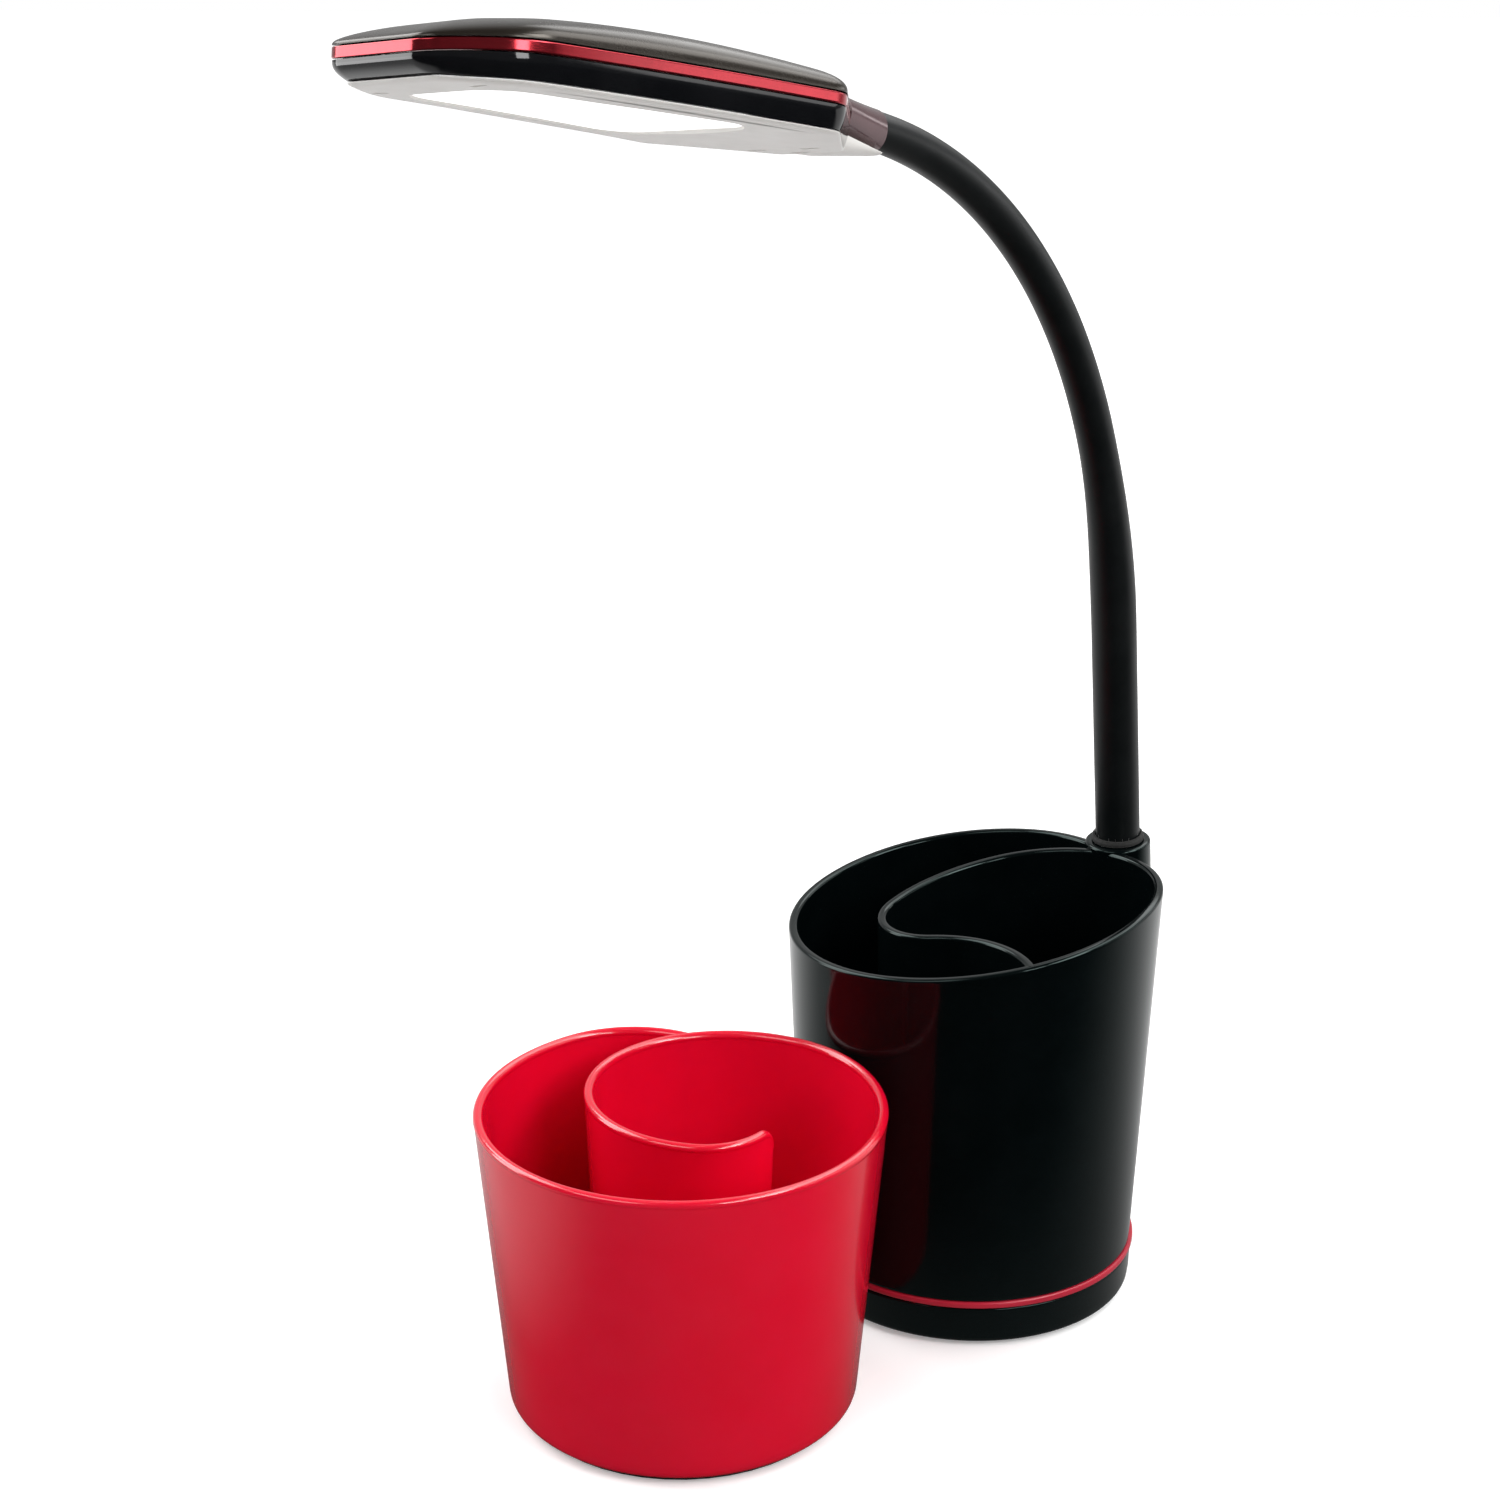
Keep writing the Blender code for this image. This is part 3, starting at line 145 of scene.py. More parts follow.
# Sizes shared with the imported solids: cup
CUP_HEIGHT = 0.0870
CUP_RADIUS = 0.0545
CUP_WALL = 0.0024
CUP_BOTTOM = 0.0015
CUP_BOTTOM_RADIUS = CUP_RADIUS + CUP_WALL / 2 - 0.0077
CUP_FLOOR = 0.0034
CUP_EDGE_ROUNDING = 0.0030
CUP_BEAD = 0.0015
CUP_END_ROUNDING = 0.0055
CUP_BEARING = math.radians(-134.888)
CUP_REACH = BASE_RADIUS + BASE_TAPER * CUP_HEIGHT + CUP_RADIUS + CUP_BEAD + 0.00043
CUP_PLACE = (CUP_REACH * math.cos(CUP_BEARING), CUP_REACH * math.sin(CUP_BEARING))
CUP_ENTRY_SHARE = 0.5541
CUP_JOIN_ANGLE = math.radians(132)
CUP_LEAVE_ANGLE = math.radians(30)
CUP_CURL_SHARES = (0.7578, 0.6459, 0.3303)
CUP_CURL_TURNS = (85, 150, 81)

# Forms of the scene alone. Corners are (length, half width, rounding). The corner beside the tail, the
# panel's corners and the sleeve's rise differ a little from the solids'
HEAD_CORNERS = (
    (HEAD_TAIL, HEAD_TAIL_HALF, 0.0040), (0.0442, 0.0370, 0.0080),
    (0.1287, 0.0307, 0.0227), (HEAD_LENGTH, 0.0178, 0.0080),
)
PANEL_CORNERS = ((0.0595, 0.0257, 0.0090), (0.1292, 0.0194, 0.0115))
SLEEVE_RISE_SHARE = 0.62
SLEEVE_SQUARING = 0.25
TONGUE_RISE = 0.0042
TONGUE_INSIDE = 0.0060
NOSE_START = 0.1260
NOSE_DROOP = 0.0014
NOSE_TUCK = 0.0030
NOSE_TRAY_SHARE = 0.65
TUCK_POWER = 1.9
CROWN_POWER = 2.6
CROWN_EASE = 1.6

# Fine edges and depths. The smooth rounds stay SKIN inside the solids' corners, and the neck's skin eases
# from the stem's radius to the links' over SKIN_TAPER
SKIN = 0.00015
SKIN_TAPER = (0.0700, 0.1210)
SKIN_FOOT = 0.0030
SKIN_STEP = 0.0011
WALL_EDGE = 0.0002
POT_RIM_ROUNDING = 0.0009
POT_FLOOR_INSET = 0.0010
POT_FLOOR_LIFT = 0.0001
RING_EDGE = 0.0006
HOUSING_TOP_EDGE = 0.0004
HOUSING_FOOT_EDGE = 0.0018
HOUSING_HIGH_INSET = 0.0001
HOUSING_LOW_OUTSET = 0.0002
INLET_SLOT_BACK = 0.0020
INLET_SLOT_FRONT = 0.0040
SOCKET_LIP = 0.0008
SOCKET_BORE_DEPTH = 0.0100
HEAD_EDGE = 0.0003
STRIPE_FLAT_INSET = 1.3 * HEAD_EDGE
PANEL_EDGE = 0.0004
PANEL_DEPTH = 0.0016
PANEL_FLANGE = 0.0012
PANEL_FLANGE_BOTTOM = 0.0017
PANEL_FLANGE_TOP = 0.0024
CUP_FLOOR_INSET = 0.0006
OVERRUN = 0.0040
MERGE_DISTANCE = 0.000001

# Steps of the meshes
ARC_STEP = math.radians(1.6)
LEAST_ARC_STEPS = 6
ROUND_STEPS = 192
NECK_STEPS = 48
SOCKET_STEPS = 64
BEAD_STEPS = 24
OUTLINE_SPACING = 0.0020
CROWN_STEPS = 22
SIDE_STEPS = 12
TONGUE_ROWS = 8
TONGUE_STEPS = 24
SLEEVE_ROWS = 14
SLEEVE_STEPS = 64
CUT_SHARP_ANGLE = math.radians(40)

# Studio: the floor's and the room's tones, and the stretches over which they change
FLOOR_HALF = 6
FLOOR_DROP = 0.0002
FLOOR_TONE = 0.92
FLOOR_GLOW = 0.25
FLOOR_GLOW_SPAN = (0.30, 1.60)
FLOOR_BOUNCE_TONE = 0.5
FLOOR_FRONT_MIRRORED = 0.01
FLOOR_BESIDE_MIRRORED = 0.5
BEHIND_SPAN = (-0.15, 0.25)
BESIDE_SPAN = (-0.13, -0.24)
FRONT_SPAN = (-0.30, -0.12)
ROOM_SPAN = (-0.2, 0.9)
ROOM_TONES = (0.08, 0.50)

# Each lamp: name, place, the point that it faces, width and height, and watts
LAMPS = (
    ("nose glint", (-1.15, 0.03, 0.26), (-0.10, -0.10, 0.26), (0.45, 0.70), 4.5),
    ("left softbox", (-1.05, 0.25, 1.00), (-0.05, -0.05, 0.10), (1.20, 0.70), 12),
    ("right strip", (1.15, 0.25, 0.49), (-0.05, 0.05, 0.40), (1.40, 0.19), 2.1),
    ("right softbox", (0.90, 0.10, 1.45), (-0.04, -0.08, 0.20), (1.20, 0.80), 12),
    ("right key", (1.00, -0.75, 1.05), (-0.06, -0.10, 0.10), (0.60, 0.60), 12),
    ("back softbox", (0.45, 0.95, 1.15), (-0.04, -0.08, 0.34), (1.20, 0.60), 5),
    ("small key", (0.62, -1.12, 0.68), (-0.10, -0.12, 0.36), (0.30, 0.40), 3.4),
    ("front fill", (-1.10, -1.30, 1.60), (-0.06, -0.10, 0.10), (1.20, 0.90), 10),
)

# The camera that was fitted to the photo, with its focal length in the photo's pixels
PHOTO_WIDTH_PX = 1500
FOCAL_LENGTH_PX = 2701
SENSOR_WIDTH_MM = 36
CAMERA_PLACE = (0, -0.7273, 0.4084)
CAMERA_TILT = math.radians(71.31)
CAMERA_TURN = math.radians(5.13)


def quarter(steps):
    """Angles from 0 to 90 degrees."""
    return [math.pi / 2 * k / steps for k in range(steps + 1)]


# Materials: every surface gets its own noise, at the scale of the real finish. Bumps: (noise scale, depth)
NOISE_RANGE = (0.3, 0.7)
TONE_SCALE = 60
SMUDGE_SCALE = 45
GRAIN_SCALE = 2600
GRAIN = (-0.02, 0.03)
FINE_BUMPS = ((700, 0.0000015), (4200, 0.0000008))


def add_material(name, dark, light, roughness, sockets=None, tone_scale=TONE_SCALE, bumps=FINE_BUMPS):
    """A Principled material whose colour, roughness and surface vary with noise in the part's own space."""
    material = bpy.data.materials.new(name)
    material.use_nodes = True
    nodes, links = material.node_tree.nodes, material.node_tree.links
    shader = nodes["Principled BSDF"]
    place = nodes.new("ShaderNodeTexCoord")

    def noise(scale, detail, distortion=0.0):
        texture = nodes.new("ShaderNodeTexNoise")
        texture.inputs["Scale"].default_value = scale
        texture.inputs["Detail"].default_value = detail
        texture.inputs["Roughness"].default_value = 0.6
        texture.inputs["Distortion"].default_value = distortion
        links.new(place.outputs["Object"], texture.inputs["Vector"])
        return texture.outputs["Fac"]

    def spread(fac, low, high):
        ramp = nodes.new("ShaderNodeMapRange")
        ramp.inputs["From Min"].default_value = NOISE_RANGE[0]
        ramp.inputs["From Max"].default_value = NOISE_RANGE[1]
        ramp.inputs["To Min"].default_value = low
        ramp.inputs["To Max"].default_value = high
        links.new(fac, ramp.inputs["Value"])
        return ramp.outputs["Result"]

    mix = nodes.new("ShaderNodeMix")
    mix.data_type = "RGBA"
    mix.inputs[6].default_value = (*dark, 1)
    mix.inputs[7].default_value = (*light, 1)
    links.new(spread(noise(tone_scale, 4), 0, 1), mix.inputs[0])
    links.new(mix.outputs[2], shader.inputs["Base Color"])

    smudge = spread(noise(SMUDGE_SCALE, 6, 1.2), *roughness)
    grain = spread(noise(GRAIN_SCALE, 2), *GRAIN)
    total = nodes.new("ShaderNodeMath")
    total.operation = "ADD"
    links.new(smudge, total.inputs[0])
    links.new(grain, total.inputs[1])
    links.new(total.outputs[0], shader.inputs["Roughness"])

    height = None
    for scale, depth in bumps:
        bump = nodes.new("ShaderNodeBump")
        bump.inputs["Strength"].default_value = 1.0
        bump.inputs["Distance"].default_value = depth
        links.new(noise(scale, 3), bump.inputs["Height"])
        if height is not None:
            links.new(height, bump.inputs["Normal"])
        height = bump.outputs["Normal"]
    links.new(height, shader.inputs["Normal"])
    for socket, value in (sockets or {}).items():
        shader.inputs[socket].default_value = value
    return material


# The grey-green specular tint paints a grey-green cast onto the pot's and foot's sheens and dims the cup's red
# reflection in them
GLOSS_BLACK_GREEN_SHEEN = add_material(
    "gloss black plastic with painted grey-green sheen", (0.0007, 0.0017, 0.0019), (0.0016, 0.0030, 0.0033), (0.09, 0.15),
    sockets={"IOR": 1.46, "Specular Tint": (0.48, 0.65, 0.62, 1)},
)
HEAD_BLACK = add_material(
    "head gloss black", (0.0030, 0.0034, 0.0042), (0.0055, 0.0058, 0.0068), (0.05, 0.10),
    sockets={"IOR": 1.46},
)
# The crown's brown base colour and warm specular tint paint a warm sheen onto its glossy black
CROWN_BLACK_WARM_SHEEN = add_material(
    "crown black with painted warm sheen", (0.009, 0.007, 0.0055), (0.016, 0.013, 0.010), (0.21, 0.27),
    sockets={"IOR": 1.5, "Specular Tint": (1.0, 0.93, 0.84, 1)},
    bumps=((900, 0.0000012), (5200, 0.0000008)),
)
GLOSS_RED = add_material(
    "gloss red plastic", (0.69, 0.0012, 0.021), (0.73, 0.0018, 0.027), (0.17, 0.24),
    sockets={
        "IOR": 1.5, "Coat Weight": 0.7, "Coat IOR": 1.55, "Coat Roughness": 0.10,
        "Subsurface Weight": 0.12, "Subsurface Radius": (0.006, 0.0006, 0.0006), "Subsurface Scale": 0.6,
    },
    tone_scale=25,
)
STRIPE_RED = add_material(
    "stripe red lacquer", (0.33, 0.014, 0.024), (0.39, 0.020, 0.032), (0.14, 0.20),
    sockets={"Metallic": 0.9, "Coat Weight": 0.4, "Coat Roughness": 0.10},
)
RING_RED = add_material(
    "ring red plastic", (0.42, 0.014, 0.034), (0.50, 0.020, 0.044), (0.18, 0.26),
    sockets={"IOR": 1.46},
)
# The sleeve is glossy black; its mauve base colour and pink specular tint paint the mauve sheen that it shows
SLEEVE_MAUVE_SHEEN = add_material(
    "sleeve lacquer with painted mauve sheen", (0.050, 0.020, 0.024), (0.070, 0.030, 0.034), (0.14, 0.22),
    sockets={"IOR": 1.8, "Specular Tint": (1.0, 0.80, 0.82, 1)},
)
NECK_RUBBER = add_material(
    "neck silicone", (0.0018, 0.0028, 0.0031), (0.0034, 0.0046, 0.0050), (0.34, 0.44),
    sockets={"IOR": 1.36}, tone_scale=110, bumps=((1500, 0.000008), (6200, 0.000005)),
)
PALE_PLASTIC = add_material(
    "pale grey plastic", (0.66, 0.645, 0.62), (0.72, 0.705, 0.68), (0.34, 0.44),
    sockets={"IOR": 1.46}, bumps=((2400, 0.000003), (7800, 0.000003)),
)
DIFFUSER = add_material(
    "lit diffuser", (0.86, 0.87, 0.86), (0.92, 0.92, 0.91), (0.30, 0.40),
    sockets={"Emission Color": (1.0, 1.0, 0.995, 1), "Emission Strength": 0.72}, bumps=((3400, 0.000006),),
)
PLAIN_STEEL = add_material(
    "plain steel", (0.46, 0.46, 0.47), (0.60, 0.60, 0.60), (0.26, 0.40),
    sockets={"Metallic": 1.0}, bumps=((1800, 0.000003), (6000, 0.000003)),
)
SATIN_BLACK = add_material(
    "satin black plastic", (0.010, 0.011, 0.012), (0.017, 0.018, 0.019), (0.36, 0.50),
    bumps=((2600, 0.000008), (8000, 0.000004)),
)
FOOT_RUBBER = add_material(
    "foot rubber", (0.010, 0.010, 0.010), (0.020, 0.020, 0.019), (0.70, 0.86),
    bumps=((1200, 0.00002), (5000, 0.00001)),
)
CLEAR_GUIDE = add_material(
    "light guide acrylic", (0.84, 0.85, 0.86), (0.92, 0.92, 0.92), (0.06, 0.14),
    sockets={"Transmission Weight": 0.6}, bumps=((2000, 0.000002),),
)
WHITE_FILM = add_material(
    "white reflector film", (0.80, 0.80, 0.79), (0.90, 0.90, 0.89), (0.45, 0.60),
    bumps=((3000, 0.000004),),
)
ALUMINIUM = add_material(
    "mill aluminium", (0.52, 0.52, 0.53), (0.66, 0.66, 0.66), (0.30, 0.46),
    sockets={"Metallic": 1.0}, bumps=((900, 0.000004), (5200, 0.000002)),
)
BOARD_GREEN = add_material(
    "board green", (0.010, 0.095, 0.035), (0.022, 0.150, 0.060), (0.30, 0.42),
    bumps=((1600, 0.00001),),
)
PLAIN_NODES = (
    (("bottom_cover",), SATIN_BLACK),
    (("non_slip_pad", "cup_foot", "neck_collar"), FOOT_RUBBER),
    (("ballast_weight", "power_inlet", "neck_ferrule"), PLAIN_STEEL),
    (tuple(f"cover_screw_{k}" for k in range(1, 5)), PLAIN_STEEL),
    (("light_guide",), CLEAR_GUIDE),
    (("reflector", "led_strip_1", "led_strip_2"), WHITE_FILM),
    (("heat_plate",), ALUMINIUM),
    (("control_board",), BOARD_GREEN),
)


def paint_plain_nodes():
    """Gives a material to each solid that is shown as it was packed."""
    for names, material in PLAIN_NODES:
        for name in names:
            NODES[name].data.materials.clear()
            NODES[name].data.materials.append(material)


# Meshes
def add_piece(name, points, faces, material, body, replaced=(), sharp=40, slot=None):
    """A smooth mesh that rides on a body and stands for the solids it replaces."""
    mesh = bpy.data.meshes.new(name)
    mesh.from_pydata([tuple(point) for point in points], [], faces)
    shape = bmesh.new()
    shape.from_mesh(mesh)
    bmesh.ops.remove_doubles(shape, verts=shape.verts, dist=MERGE_DISTANCE)
    bmesh.ops.recalc_face_normals(shape, faces=shape.faces)
    shape.to_mesh(mesh)
    shape.free()
    mesh.materials.append(material)
    mesh.shade_smooth()
    mesh.set_sharp_from_angle(angle=math.radians(sharp))
    obj = bpy.data.objects.new(name, mesh)
    bpy.context.scene.collection.objects.link(obj)
    if body is not None:
        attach(obj, body)
    if replaced:
        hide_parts(*replaced)
    return obj


def grid_faces(rows, around, closed_rows=False):
    """Quads over rows of points; each row is a closed loop, and closed_rows joins the last to the first."""
    faces = []
    for row in range(rows if closed_rows else rows - 1):
        after_row = (row + 1) % rows
        for k in range(around):
            after = (k + 1) % around
            faces.append((
                row * around + k, row * around + after,
                after_row * around + after, after_row * around + k,
            ))
    return faces


def turned(profile, centre=(0, 0), closed=False):
    """Points and faces of a profile of (radius, height) turned about an upright line."""
    points = []
    for radius, height in profile:
        for k in range(ROUND_STEPS):
            angle = math.tau * k / ROUND_STEPS
            points.append((
                centre[0] + radius * math.cos(angle), centre[1] + radius * math.sin(angle), height,
            ))
    return points, grid_faces(len(profile), ROUND_STEPS, closed_rows=closed)


def top_edge(radius, level, size, steps):
    """A rounded edge of a profile, from the top face down to the side."""
    return [
        (radius - size * (1 - math.sin(angle)), level - size * (1 - math.cos(angle)))
        for angle in quarter(steps)
    ]


def foot_edge(radius, level, size, steps):
    """A rounded edge of a profile, from the side down to the bottom face."""
    return [
        (radius - size * (1 - math.cos(angle)), level + size * (1 - math.sin(angle)))
        for angle in quarter(steps)
    ]


def joined(*parts):
    """Several (points, faces) as one."""
    points, faces = [], []
    for more_points, more_faces in parts:
        start = len(points)
        points += more_points
        faces += [tuple(start + k for k in face) for face in more_faces]
    return points, faces


def box_cutter(low, high):
    """A box between two corners, to cut with."""
    shape = bmesh.new()
    bmesh.ops.create_cube(shape, size=1)
    bmesh.ops.scale(shape, vec=high - low, verts=shape.verts)
    bmesh.ops.translate(shape, vec=(high + low) / 2, verts=shape.verts)
    mesh = bpy.data.meshes.new("cutter")
    shape.to_mesh(mesh)
    shape.free()
    obj = bpy.data.objects.new("cutter", mesh)
    bpy.context.scene.collection.objects.link(obj)
    return obj


def cut(obj, tool):
    """Cuts the tool out of the object and removes the tool."""
    modifier = obj.modifiers.new("cut", "BOOLEAN")
    modifier.operation = "DIFFERENCE"
    modifier.object = tool
    bpy.context.view_layer.update()
    graph = bpy.context.evaluated_depsgraph_get()
    mesh = bpy.data.meshes.new_from_object(obj.evaluated_get(graph))
    obj.modifiers.clear()
    obj.data = mesh
    mesh.shade_smooth()
    mesh.set_sharp_from_angle(angle=CUT_SHARP_ANGLE)
    bpy.data.objects.remove(tool, do_unlink=True)


# Curled walls of the pot and the cup
def base_radius(height):
    return BASE_RADIUS + BASE_TAPER * height


def curl_arcs(radius, shares, turns):
    """The arcs of a curl as (radius, turn)."""
    return [(radius * share, math.radians(turn)) for share, turn in zip(shares, turns)]


def arc_chain(start, heading, arcs):
    """Stations (x, y, heading) along arcs that follow each other without a kink."""
    x, y = start
    stations = [(x, y, heading)]
    for radius, turn in arcs:
        hand = math.copysign(1, turn)
        centre_x = x - hand * radius * math.sin(heading)
        centre_y = y + hand * radius * math.cos(heading)
        count = max(LEAST_ARC_STEPS, round(abs(turn) / ARC_STEP))
        for k in range(1, count + 1):
            now = heading + turn * k / count
            x = centre_x + hand * radius * math.sin(now)
            y = centre_y - hand * radius * math.cos(now)
            stations.append((x, y, now))
        heading += turn
    return stations


def spiral_plan(radius, entry_radius, entry_angle, join_angle, leave_angle, curl):
    """The plan of a curled wall: a tighter entry arc, the main circle, and the curl inside it."""
    shift = radius - entry_radius
    start = (
        shift * math.cos(join_angle) + entry_radius * math.cos(entry_angle),
        shift * math.sin(join_angle) + entry_radius * math.sin(entry_angle),
    )
    arcs = [(entry_radius, join_angle - entry_angle), (radius, math.tau + leave_angle - join_angle)]
    return arc_chain(start, entry_angle + math.pi / 2, arcs + curl)


def wall(stations, section, levels, plan_share, centre=(0, 0)):
    """A wall along the stations; the section is (offset, share of height, lift) points round one loop."""
    points = []
    for x, y, heading in stations:
        side = (-math.sin(heading), math.cos(heading))
        bottom, top = levels(x, y)
        for offset, height_share, lift in section:
            height = bottom + (top - bottom) * height_share + lift
            share = plan_share(height, top)
            points.append((
                centre[0] + x * share + side[0] * offset, centre[1] + y * share + side[1] * offset, height,
            ))
    around = len(section)
    last = (len(stations) - 1) * around
    faces = grid_faces(len(stations), around)
    faces.append(tuple(range(around)))
    faces.append(tuple(last + k for k in reversed(range(around))))
    return points, faces


def rounded_section(half, rounding, edge):
    """A wall's section with a rounded rim, edge rings that keep its sides flat, and a small round below."""
    section = []
    for angle in reversed(quarter(3)):
        section.append((-half + edge * (1 - math.sin(angle)), 0, edge * (1 - math.cos(angle))))
    for angle in quarter(3):
        section.append((half - edge * (1 - math.sin(angle)), 0, edge * (1 - math.cos(angle))))
    section += [(half, 0, 4 * edge), (half, 1, -rounding - 2 * edge)]
    for angle in quarter(6):
        section.append((half - rounding * (1 - math.cos(angle)), 1, rounding * (math.sin(angle) - 1)))
    for angle in quarter(6):
        section.append((-half + rounding * (1 - math.sin(angle)), 1, rounding * (math.cos(angle) - 1)))
    section += [(-half, 1, -rounding - 2 * edge), (-half, 0, 4 * edge)]
    return section


def beaded_section(half, bead, edge):
    """A wall's section with a round bead along its rim."""
    waist = math.asin(half / bead)
    below_bead = -bead * (1 + math.cos(waist)) - edge
    section = [(-half, 0, 0), (half, 0, 0), (half, 0, 4 * edge), (half, 1, below_bead)]
    for k in range(BEAD_STEPS + 1):
        angle = -math.pi / 2 + waist + (math.tau - 2 * waist) * k / BEAD_STEPS
        section.append((bead * math.cos(angle), 1, bead * math.sin(angle) - bead))
    section += [(-half, 1, below_bead), (-half, 0, 4 * edge)]
    return section


# Base
def make_pot():
    """The curled wall under its slanted rim, the floor and the neck's socket."""
    curl = curl_arcs(POT_RADIUS, POT_CURL_SHARES, POT_CURL_TURNS)
    stations = spiral_plan(
        POT_RADIUS - SKIN, POT_RADIUS * POT_ENTRY_SHARE - SKIN,
        POT_ENTRY_ANGLE, POT_JOIN_ANGLE, POT_LEAVE_ANGLE, curl,
    )
    pot = wall(
        stations, rounded_section(POT_WALL / 2, POT_RIM_ROUNDING, WALL_EDGE),
        lambda x, y: (POT_BOTTOM, RIM_HEIGHT + RIM_SLOPE_ACROSS * x + RIM_SLOPE_BACK * y),
        lambda height, top: base_radius(height) / base_radius(top),
    )
    radius = base_radius(POT_BOTTOM) - SEAT_GAP - POT_FLOOR_INSET
    top, bottom = POT_BOTTOM + POT_FLOOR, POT_BOTTOM + POT_FLOOR_LIFT
    floor = turned([(0, top), (radius, top), (radius, bottom), (0, bottom)])
    whole = joined(pot, floor, make_socket())
    add_piece("pot_shell", *whole, GLOSS_BLACK_GREEN_SHEEN, "base", ["base_pot"], 50, "gloss_black")


def make_ring():
    """The red ring under the pot."""
    outer = base_radius(RING_TOP) + RING_PROUD
    inner = PLATEAU_RADIUS + SEAT_GAP
    profile = top_edge(outer, RING_TOP, RING_EDGE, 4) + foot_edge(outer, RING_BOTTOM, RING_EDGE, 4)
    profile += [(inner, RING_BOTTOM), (inner, RING_TOP)]
    add_piece("ring_band", *turned(profile, closed=True), RING_RED, "base", ["trim_ring"], 50, "gloss_red")


def make_housing():
    """The black foot, whose plateau carries the pot, with the power socket's slot."""
    low, high = base_radius(HOUSING_LIFT), base_radius(HOUSING_HEIGHT)
    profile = [(0, RING_TOP), (PLATEAU_RADIUS, RING_TOP), (PLATEAU_RADIUS, HOUSING_HEIGHT)]
    profile += top_edge(high, HOUSING_HEIGHT, HOUSING_TOP_EDGE, 4)
    profile += [
        (high - HOUSING_HIGH_INSET, HOUSING_HEIGHT - 3 * HOUSING_TOP_EDGE),
        (low + HOUSING_LOW_OUTSET, HOUSING_LIFT + 2 * HOUSING_FOOT_EDGE),
    ]
    profile += foot_edge(low, HOUSING_LIFT, HOUSING_FOOT_EDGE, 6)
    profile += [(low - HOUSING_WALL, HOUSING_LIFT), (low - HOUSING_WALL, HOUSING_HEIGHT - HOUSING_WALL)]
    housing = add_piece(
        "housing_shell", *turned(profile), GLOSS_BLACK_GREEN_SHEEN, "base", ["base_housing"], 40, "gloss_black"
    )
    low_corner, high_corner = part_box("power_inlet")
    cut(housing, box_cutter(
        low_corner - Vector((SEAT_GAP, INLET_SLOT_BACK, SEAT_GAP)),
        high_corner + Vector((SEAT_GAP, INLET_SLOT_FRONT, SEAT_GAP)),
    ))


# Neck
HEADING = Vector((math.cos(NECK_HEADING), math.sin(NECK_HEADING), 0))
UP = Vector((0, 0, 1))
NECK_SIDE = Vector((-math.sin(NECK_HEADING), math.cos(NECK_HEADING), 0))
HEAD_ALONG = HEADING * math.cos(HEAD_PITCH) + UP * math.sin(HEAD_PITCH)


def neck_tangent(length):
    """The neck's direction: straight at first, then bending over more and more."""
    curved_share = max(0.0, (length - NECK_STRAIGHT) / NECK_CURVED)
    angle = NECK_LEAN + NECK_BEND * curved_share ** NECK_BEND_POWER
    return HEADING * math.sin(angle) + UP * math.cos(angle)


def neck_path():
    """Points along the neck, from the socket to the sleeve."""
    foot = (NECK_REACH * math.cos(NECK_BEARING), NECK_REACH * math.sin(NECK_BEARING), NECK_START)
    path = [Vector(foot)]
    for k in range(round((NECK_STRAIGHT + NECK_CURVED) / PATH_STEP)):
        path.append(path[-1] + neck_tangent((k + 0.5) * PATH_STEP) * PATH_STEP)
    return path


PATH = neck_path()
NECK_LENGTH = (len(PATH) - 1) * PATH_STEP


def on_neck(length):
    """The point and the direction at a length along the neck; below 0 it runs down into the socket."""
    if length <= 0:
        return PATH[0] + neck_tangent(0) * length, neck_tangent(0)
    k = min(round(length / PATH_STEP), len(PATH) - 1)
    return PATH[k], neck_tangent(k * PATH_STEP)


def neck_radius(length):
    """The stem's radius low down, easing over a long taper into the links' radius."""
    links = NECK_LENGTH - STEM_LENGTH
    upper = LINK_RADIUS + (LINK_END_RADIUS - LINK_RADIUS) * (length - STEM_LENGTH) / links
    share = min(1.0, max(0.0, (length - SKIN_TAPER[0]) / (SKIN_TAPER[1] - SKIN_TAPER[0])))
    return STEM_RADIUS + (upper - STEM_RADIUS) * share * share * (3 - 2 * share)


def ring_at(point, tangent, radius, steps):
    """A ring of points round the neck's line."""
    across = tangent.cross(NECK_SIDE)
    angles = [math.tau * k / steps for k in range(steps)]
    return [point + (NECK_SIDE * math.cos(angle) + across * math.sin(angle)) * radius for angle in angles]


def tube(rings, steps):
    """An open tube through rings of (point, tangent, radius)."""
    points = []
    for point, tangent, radius in rings:
        points += ring_at(point, tangent, radius, steps)
    return points, grid_faces(len(rings), steps)


def joint_length(k):
    """How far along the neck joint k lies."""
    return STEM_LENGTH + (NECK_LENGTH - STEM_LENGTH) * k / LINK_COUNT


def make_neck():
    """A smooth skin over the links: each piece bends across one joint and ends at the links' middles."""
    reach = (joint_length(1) - joint_length(0)) / 2
    for k in range(LINK_COUNT):
        joint = joint_length(k)
        start = -SKIN_FOOT if k == 0 else joint - reach
        end = joint + reach if k < LINK_COUNT - 1 else NECK_LENGTH
        count = max(2, round((end - start) / SKIN_STEP))
        rings = []
        for step in range(count + 1):
            length = start + (end - start) * step / count
            point, tangent = on_neck(length)
            if k == LINK_COUNT - 1:
                ease = max(0.0, (length - joint - reach) / (end - joint - reach))
                tangent = tangent.lerp(HEAD_ALONG, ease).normalized()
            rings.append((point, tangent, neck_radius(length)))
        replaced = ["neck_stem"] if k == 0 else [f"neck_link_{k}"]
        if k == LINK_COUNT - 1:
            replaced.append(f"neck_link_{LINK_COUNT}")
        skin = add_piece(
            f"neck_skin_{k + 1}", *tube(rings, NECK_STEPS), NECK_RUBBER, None, replaced, 60, "soft_rubber"
        )
        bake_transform(skin)


